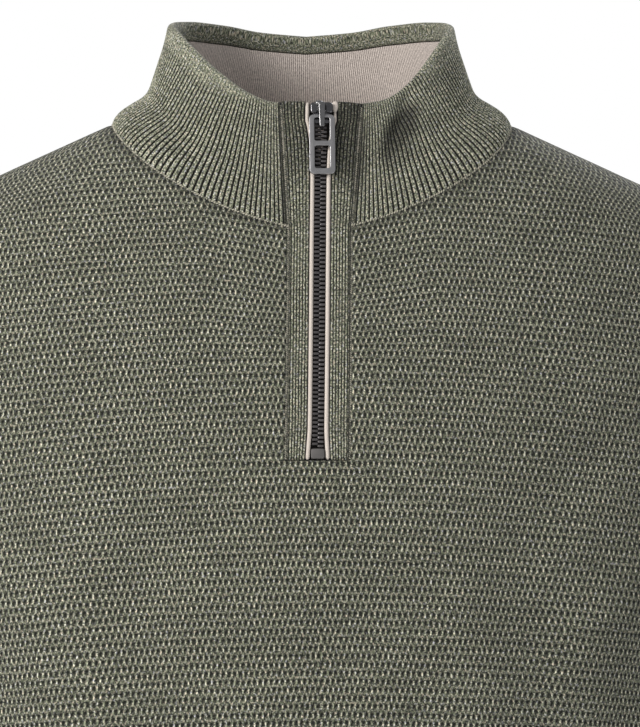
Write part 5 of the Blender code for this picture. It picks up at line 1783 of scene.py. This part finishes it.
def fill_eyelets(place, wale, course):
    """Courses of eyelets, each half a wale on from the last, with a strand between two. The eyelets
    are painted shade, darker on their upper side, and the strands get a painted highlight.
    """
    u, v, _ = split(place)
    u = u + (noise(place, 0.09, 1.0) - 0.5) * 0.9
    v = v + (noise(stretched(place, 0.05, 0.12), 1.0, 1.0) - 0.5) * 0.9
    nearest, strand, thread, nearest_upper_shade = None, None, None, None
    for shift in (0.0, 0.5):
        b = (v / (course * 2) + shift).step("FRACT") - 0.5
        a = (u / wale + shift - b * EYELET_LEAN).step("FRACT") - 0.5
        y = b / EYELET_HALF_HEIGHT
        wide = y.step("MAXIMUM", -1.4).step("MINIMUM", 1.4) * 0.2 + 0.88
        x = a / (wide * EYELET_HALF_WIDTH)
        round_it = x * x + y * y
        over = (x * 0.8 - y - 0.6).away().ramp(0.36, 0.1) * round_it.ramp(1.4, 0.7)
        beside = (a.away() - 0.5) / STRAND_HALF_WIDTH
        up = (b + 0.03) / STRAND_HALF_HEIGHT
        bright = (beside * beside + up * up).ramp(1.5, 0.15)
        # painted shade: the upper side of an eyelet, which light from above leaves in shadow, is
        # painted darker
        deep = y.ramp(-1.1, 0.1)
        if nearest is None:
            nearest, strand, thread, nearest_upper_shade = round_it, bright, over, deep
        else:
            is_this = nearest.step("GREATER_THAN", round_it)
            nearest_upper_shade = nearest_upper_shade + (deep - nearest_upper_shade) * is_this
            nearest = nearest.step("MINIMUM", round_it)
            strand, thread = strand.step("MAXIMUM", bright), thread.step("MAXIMUM", over)
    ply = (v * 2.6 + u.away() * 1.3).step("SINE") * 0.5 + 0.5
    # brightness of the yarn: a painted highlight on the strands and painted shade close to the
    # eyelets, over the ply's twist
    yarn = strand * 0.66 + nearest.ramp(0.9, 2.6) * 0.12 + ply * 0.08 + 0.42
    # painted shade in the eyelet, lighter where a thread crosses it
    eyelet = nearest.ramp(1.45, 0.5) * (nearest_upper_shade * 0.3 + 0.7) * (thread * -0.4 + 1.0)
    height = nearest.ramp(0.55, 2.6) * 0.8 + strand * 0.25 + ply * 0.07 + thread * 0.12
    return eyelet, yarn, height


def fill_heather(place, light, middle, dark):
    """Yarn spun from light and dark fibres."""
    tree = place.tree
    fleck = noise(stretched(place, 0.95, 0.75), 1.0, 2.0, 0.6)
    fine = noise(stretched(place, 1.3, 1.05), 1.0, 1.0, 0.6)
    streak = noise(stretched(place, 0.035, 0.24), 1.0, 3.0, 0.6)
    cloud = noise(place, 0.03, 2.0)
    hue = noise(stretched(place, 0.7, 0.5), 1.3, 2.0)
    warm = mixed(tree, hue.ramp(0.5, 0.62), light, WARM_FIBRE)
    pale = mixed(tree, hue.ramp(0.48, 0.36), warm, COOL_FIBRE)
    colour = mixed(tree, fleck.ramp(0.46, 0.58), middle, pale)
    colour = mixed(tree, fine.ramp(0.51, 0.41) * 0.9, colour, dark)
    level = streak.ramp(0.3, 0.7) * 0.24 + cloud.ramp(0.3, 0.7) * 0.12 + 0.82
    return (mixed(tree, 1.0, colour, grey(level), "MULTIPLY"),)


def fill_stitches(place, wale, course):
    """Plain knit: wales of V stitches."""
    u, v, _ = split(place)
    half = ((u / wale).step("FRACT") - 0.5).away()
    leg = (v / course - half * 0.9).step("FRACT").arch()
    shade = (leg * 0.1 + 0.9) * half.ramp(0.5, 0.2)
    return shade, shade * 0.3


def fill_rib(rib, strength):
    """Painted shade in the groove between two ribs and in the dotted line down the middle of one,
    and more painted shade where the strength is over 1.
    """
    number, along, _ = split(rib)
    from_middle = number.step("FRACT").away(0.5)
    wobble = (noise(stretched(rib, 1.7, 0.5), 1.0, 1.0) - 0.5) * 0.07
    # painted shade in the groove, as deep as the strength allows
    groove = (from_middle + wobble).ramp(0.2, 0.41) * strength.ramp(0.0, 0.4)
    # painted shade where the strength is over 1: at the placket bands' tops, in the collar's
    # creases and beside the seams
    seam = strength.ramp(1.05, 1.8)
    dots = ((along * (2 * math.pi / RIB_STITCH)).step("SINE") * 0.5 + 0.5) * 0.7 + 0.3
    # painted shade in the dotted crevice down the rib's middle
    line = from_middle.ramp(0.09, 0.0) * dots
    legs = (along / RIB_STITCH - from_middle * 1.3).step("FRACT").arch()
    height = legs * 0.16 - line * 0.25 - groove * 0.2
    return groove, line * strength, legs, seam, height


def fill_weave(place, thread):
    """A plain weave of fine threads."""
    u, v, _ = split(place)
    across = (u * math.pi / thread).step("SINE").step("ABSOLUTE")
    along = (v * math.pi / thread).step("SINE").step("ABSOLUTE")
    over = ((u / thread).step("FLOOR") + (v / thread).step("FLOOR")).step("PINGPONG", 1.0)
    shade = across * over + along * (over * -1 + 1)
    fuzz = noise(place, 3.0, 2.0)
    return shade * 0.5 + fuzz * 0.3 + 0.35, shade * 0.1


def fill_worn(place, size):
    """Fine scratches and dull patches on cast metal."""
    scratch = noise(stretched(place, 5000, 220, 900), 1.0, 2.0, 0.6).ramp(0.56, 0.74)
    patch = noise(place, size, 4.0, 0.6)
    return patch.ramp(0.35, 0.7), scratch, patch * 0.02 + scratch * 0.008


def build_groups():
    shader_group("Eyelet knit", "Place Wale Course", "Eyelet Yarn Height", fill_eyelets)
    shader_group("Heathered yarn", "Place Light Middle Dark", "Color", fill_heather)
    shader_group("Plain stitches", "Place Wale Course", "Shade Height", fill_stitches)
    shader_group("Rib", "Rib Strength", "Groove Line Legs Seam Height", fill_rib)
    shader_group("Weave", "Place Thread", "Shade Height", fill_weave)
    shader_group("Worn metal", "Place Size", "Dull Scratch Height", fill_worn)


def uv(tree, layer):
    return node_signal(tree, "UVMap", uv_map=layer)


def attribute(tree, name):
    node = node_signal(tree, "Attribute", attribute_name=name).socket.node
    return Signal(tree, node.outputs["Fac"])


def object_place(tree):
    return Signal(tree, tree.nodes.new("ShaderNodeTexCoord").outputs["Object"])


def finish(name, build, **values):
    """A material whose shader takes the constants given, and the colour, roughness and height
    that build makes."""
    made = bpy.data.materials.get(name)
    if made:
        return made
    build_groups()
    made = bpy.data.materials.new(name)
    made.use_nodes = True
    tree = made.node_tree
    shader = tree.nodes["Principled BSDF"]
    for label, value in values.items():
        shader.inputs[label.replace("_", " ")].default_value = value
    colour, height, roughness = build(tree)
    feed(tree, shader.inputs["Base Color"], colour)
    bump = tree.nodes.new("ShaderNodeBump")
    bump.inputs["Distance"].default_value = MM
    feed(tree, bump.inputs["Height"], height)
    tree.links.new(bump.outputs[0], shader.inputs["Normal"])
    if roughness is not None:
        feed(tree, shader.inputs["Roughness"], roughness)
    return made


CLOTH = {
    "Roughness": 0.92,
    "Specular_IOR_Level": 0.12,
    "Sheen_Weight": 0.12,
    "Sheen_Roughness": 0.5,
    "Sheen_Tint": (0.78, 0.77, 0.82, 1),
}


def yarn_colour(tree, place):
    chosen = settings()
    light, middle, dark = (
        (*colour, 1) for colour in (chosen.yarn_light, chosen.yarn_mid, chosen.yarn_dark)
    )
    return use_group(tree, "Heathered yarn", Place=place, Light=light, Middle=middle, Dark=dark)[0]


def eyelet_knit():
    def build(tree):
        place = uv(tree, "knit")
        chosen = settings()
        eyelet, yarn, height = use_group(
            tree, "Eyelet knit", Place=place, Wale=chosen.wale / MM, Course=chosen.course / MM
        )
        # painted shade beside the neck and shoulder seams
        yarn = yarn * (attribute(tree, "tightness") * -0.4 + 1)
        colour = mixed(tree, 1.0, yarn_colour(tree, place), grey(yarn), "MULTIPLY")
        # painted shade in the eyelets
        return mixed(tree, eyelet * EYELET_DARK, colour, EYELET_SHADE), height, None

    return finish("eyelet_knit", build, **CLOTH)


def rib_knit():
    def build(tree):
        strength = attribute(tree, "rib_strength")
        rib = use_group(tree, "Rib", Rib=uv(tree, "ribs"), Strength=strength)
        groove, line, legs, seam, height = rib
        colour = yarn_colour(tree, uv(tree, "knit"))
        # painted shade in the grooves and down the ribs' middles, and more where the strength
        # attribute is over 1
        level = (legs * 0.4 + 0.72) * (line * -0.5 + 1) * (groove * -0.96 + 1) * (seam * -0.7 + 1)
        # painted shade on the inner faces, whose strength is 0
        level = level * strength.ramp(0.0, 0.12, 0.66, 1.0)
        return mixed(tree, 1.0, colour, grey(level), "MULTIPLY"), height, None

    return finish("ribbed_yarn", build, **CLOTH)


def jersey():
    def build(tree):
        place = uv(tree, "knit")
        shade, height = use_group(
            tree, "Plain stitches", Place=place, Wale=JERSEY_WALE, Course=JERSEY_COURSE)
        fuzz = noise(stretched(place, 1.6, 0.8), 1.0, 3.0, 0.6).ramp(0.38, 0.62)
        patch = noise(stretched(place, 0.5, 0.3), 1.0, 2.0).ramp(0.4, 0.6)
        level = shade * 0.52 + fuzz * 0.4 + patch * 0.08 + 0.44
        colour = (*settings().jersey, 1)
        return mixed(tree, 1.0, colour, grey(level), "MULTIPLY"), height, None

    return finish("taupe_jersey", build, **CLOTH)


def woven(name, colour, thread, **values):
    def build(tree):
        shade, height = use_group(tree, "Weave", Place=uv(tree, "knit"), Thread=thread)
        return mixed(tree, 1.0, (*colour, 1), grey(shade), "MULTIPLY"), height, None

    return finish(name, build, **{**CLOTH, **values})


def metal(name):
    """Cast metal, from a smooth colour to a dull one, between two roughnesses."""
    look = METALS[name]

    def build(tree):
        place = object_place(tree)
        patches, scratch, height = use_group(tree, "Worn metal", Place=place, Size=PATCH_SIZE)
        colours = (*(look.colour or settings().metal), 1), (*look.dull, 1)
        shade = mixed(tree, patches * 0.6 + scratch * 0.2, *colours)
        return shade, height, patches * (look.rough - look.smooth) + scratch * 0.12 + look.smooth

    return finish(name, build, Metallic=look.metallic)


def stitch_yarn():
    def build(tree):
        place = stretched(object_place(tree), 1000, 1000, 1000)
        fleck = noise(place, 0.8, 2.0)
        light = (*settings().yarn_light, 1)
        colour = mixed(tree, fleck.ramp(0.4, 0.62), light, STITCH_MIDDLE)
        colour = mixed(tree, fleck.ramp(0.56, 0.4) * 0.9, colour, STITCH_DARK)
        return colour, fleck * 0.1, None

    return finish("linking_yarn", build, **CLOTH)


# Operators


def finished(piece, material, nodes=(), body="garment"):
    """Gives a piece the material passed, if any, hides the model's parts that it stands in for, and
    attaches it to the body that it moves with.
    """
    if material:
        piece.data.materials.clear()
        piece.data.materials.append(material)
    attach(piece, body)
    if nodes:
        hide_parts(*nodes)
    return piece


def cut(piece):
    """Does nothing: no flat size is given for a cloth piece."""


class SWEATER_OT_body(bpy.types.Operator):
    """Models the front and back panels and the sleeves, which share their armhole seams"""

    bl_idname = "sweater.body"
    bl_label = "Body and sleeves"

    def execute(self, context):
        turns = sleeve_turns()
        grids = sleeve_grids(turns)
        seam_in, neck_in = armhole_directions(grids[2], turns), neck_directions()
        knit = eyelet_knit()
        for name, back in FACES:
            made = make_panel(name + "_panel", back, seam_in[back], neck_in)
            cut(finished(made, knit, [name]))
        for side, label in SIDES:
            made = make_sleeve("sleeve_cloth_" + label, side, grids, turns)
            nodes = [f"sleeve_{label}_front", f"sleeve_{label}_back"]
            cut(finished(made, knit, nodes))
        return {"FINISHED"}


class SWEATER_OT_bands(bpy.types.Operator):
    """Models the ribbed hem bands and cuffs"""

    bl_idname = "sweater.bands"
    bl_label = "Hem bands and cuffs"

    def execute(self, context):
        rib = rib_knit()
        for name, back in FACES:
            cut(finished(make_hem("hem_band_" + name, back), rib, ["hem_" + name]))
        for side, label in SIDES:
            cut(finished(make_cuff("cuff_band_" + label, side), rib, ["cuff_" + label]))
        return {"FINISHED"}


class SWEATER_OT_collar(bpy.types.Operator):
    """Models the ribbed collar with its turned-over top, its facing and its linking seam"""

    bl_idname = "sweater.collar"
    bl_label = "Collar"

    def execute(self, context):
        neck_in = neck_directions()
        cut(finished(make_collar(neck_in), rib_knit(), ["collar"]))
        cut(finished(make_facing(), jersey(), ["collar_facing"]))
        lines = [
            neck_stitch_line(neck_in, back, side) for back in (False, True) for side in (-1, 1)
        ]
        made = seam_stitches("neck_stitches", lines, NECK_STITCH)
        finished(made, stitch_yarn())
        return {"FINISHED"}


class SWEATER_OT_placket(bpy.types.Operator):
    """Models the rib bands beside the zip and the stitches that link them on"""

    bl_idname = "sweater.placket"
    bl_label = "Placket"

    def execute(self, context):
        for side, label in SIDES:
            made = make_placket(side, "placket_band_" + label)
            cut(finished(made, rib_knit(), ["placket_" + label]))
        lines = [placket_stitch_line(side) for side in (-1, 1)]
        made = seam_stitches("placket_stitches", lines, PLACKET_STITCH)
        finished(made, stitch_yarn())
        return {"FINISHED"}


class SWEATER_OT_zip_cloth(bpy.types.Operator):
    """Models the zip's tapes and the piping beside its teeth"""

    bl_idname = "sweater.zip_cloth"
    bl_label = "Tapes and piping"

    def execute(self, context):
        tape = woven("dark_tape", TAPE_COLOUR, TAPE_THREAD)
        cream = woven("cream_piping", settings().trim, TRIM_THREAD)
        for (side, label), widths in zip(SIDES, (PIPING_LEFT, PIPING_RIGHT)):
            finished(make_tape(side, "tape_" + label), tape, ["zip_tape_" + label])
            made = make_trim(side, "piping_" + label, widths)
            finished(made, cream, ["zip_trim_" + label])
        return {"FINISHED"}


class SWEATER_OT_zip_metal(bpy.types.Operator):
    """Models the teeth, the bottom stop, the slider and its pull"""

    bl_idname = "sweater.zip_metal"
    bl_label = "Teeth, stop, slider and pull"

    def execute(self, context):
        finished(make_teeth(), metal("dark_teeth"), ["zip_chain"])
        finished(make_stop(), metal("matte_stop"), ["zip_stop"])
        # the second metal is a lighter copy of the first, painted light on the bridge and crown
        slider = make_slider(metal("slider_metal"), metal("bridge_metal"))
        finished(slider, None, ["zip_slider"])
        finished(make_pull(), metal("pull_metal"), ["zip_pull"], "pull_tab")
        return {"FINISHED"}


class SWEATER_OT_stage(bpy.types.Operator):
    """Adds the floor, the lights, the pale surroundings and the camera"""

    bl_idname = "sweater.stage"
    bl_label = "Stage"

    def execute(self, context):
        deselect()
        bpy.ops.mesh.primitive_plane_add(size=FLOOR_SIZE, location=(0, 0, FLOOR_Z))
        floor = bpy.context.active_object
        floor.name = "floor"
        place_mesh(floor, floor.matrix_world.copy())

        def pale(tree):
            patches = noise(object_place(tree), 2.0).ramp(0.3, 0.7)
            return mixed(tree, patches, *FLOOR_COLOURS), patches * 0.1, None

        floor.data.materials.append(finish("pale_floor", pale, Roughness=0.8))
        make_world()
        for lamp in LAMPS:
            add_lamp(lamp)
        add_camera()
        context.scene.view_settings.view_transform = "Standard"
        return {"FINISHED"}


def make_world():
    """White to the camera, and a dimmer even light on the cloth."""
    world = bpy.data.worlds.new("studio")
    bpy.context.scene.world = world
    world.use_nodes = True
    tree = world.node_tree
    seen, lit = tree.nodes["Background"], tree.nodes.new("ShaderNodeBackground")
    seen.inputs["Color"].default_value = (1, 1, 1, 1)
    lit.inputs["Color"].default_value = WORLD_COLOUR
    lit.inputs["Strength"].default_value = WORLD_LIGHT
    chooser = tree.nodes.new("ShaderNodeMixShader")
    path = tree.nodes.new("ShaderNodeLightPath")
    tree.links.new(path.outputs["Is Camera Ray"], chooser.inputs[0])
    tree.links.new(lit.outputs[0], chooser.inputs[1])
    tree.links.new(seen.outputs[0], chooser.inputs[2])
    tree.links.new(chooser.outputs[0], tree.nodes["World Output"].inputs["Surface"])


def add_lamp(lamp):
    data = bpy.data.lights.new(lamp.name, "AREA")
    data.energy, data.size, data.color = lamp.watts, lamp.size, lamp.colour
    made = add_piece(lamp.name, data)
    made.location = lamp.place
    towards = Vector(lamp.aim) - Vector(lamp.place)
    made.rotation_euler = towards.to_track_quat("-Z", "Y").to_euler()


def add_camera():
    """Level with the chest, a little to the wearer's right of straight ahead."""
    turn = math.radians(CAMERA_TURN_DEGREES)
    right = Vector((math.cos(turn), -math.sin(turn), 0))
    forward = Vector((math.sin(turn), math.cos(turn), 0))
    data = bpy.data.cameras.new("camera")
    data.sensor_fit, data.sensor_width, data.sensor_height = "VERTICAL", SENSOR, SENSOR
    data.lens = SENSOR * CAMERA_FOCUS / CAMERA_VIEW_HEIGHT
    made = add_piece("camera", data)
    made.location = right * CAMERA_ASIDE - forward * CAMERA_DISTANCE + Vector((0, 0, CAMERA_HEIGHT))
    made.rotation_euler = Matrix((right, Vector((0, 0, 1)), -forward)).transposed().to_euler()
    bpy.context.scene.camera = made


class SWEATER_PT_panel(bpy.types.Panel):
    bl_label = "Quarter zip sweater"
    bl_idname = "SWEATER_PT_panel"
    bl_space_type = "VIEW_3D"
    bl_region_type = "UI"
    bl_category = "Sweater"

    def draw(self, context):
        for name in SweaterSettings.__annotations__:
            self.layout.prop(context.scene.sweater, name)
        for step in STEPS:
            self.layout.operator(step.bl_idname)


STEPS = (
    SWEATER_OT_body,
    SWEATER_OT_bands,
    SWEATER_OT_collar,
    SWEATER_OT_placket,
    SWEATER_OT_zip_cloth,
    SWEATER_OT_zip_metal,
    SWEATER_OT_stage,
)
CLASSES = (SweaterSettings, *STEPS, SWEATER_PT_panel)


def register():
    for item in CLASSES:
        bpy.utils.register_class(item)
    bpy.types.Scene.sweater = bpy.props.PointerProperty(type=SweaterSettings)


def unregister():
    del bpy.types.Scene.sweater
    for item in reversed(CLASSES):
        bpy.utils.unregister_class(item)


def main():
    register()
    bpy.ops.sweater.body()
    bpy.ops.sweater.bands()
    bpy.ops.sweater.collar()
    bpy.ops.sweater.placket()
    bpy.ops.sweater.zip_cloth()
    bpy.ops.sweater.zip_metal()
    bpy.ops.sweater.stage()


if __name__ == "__main__":
    main()
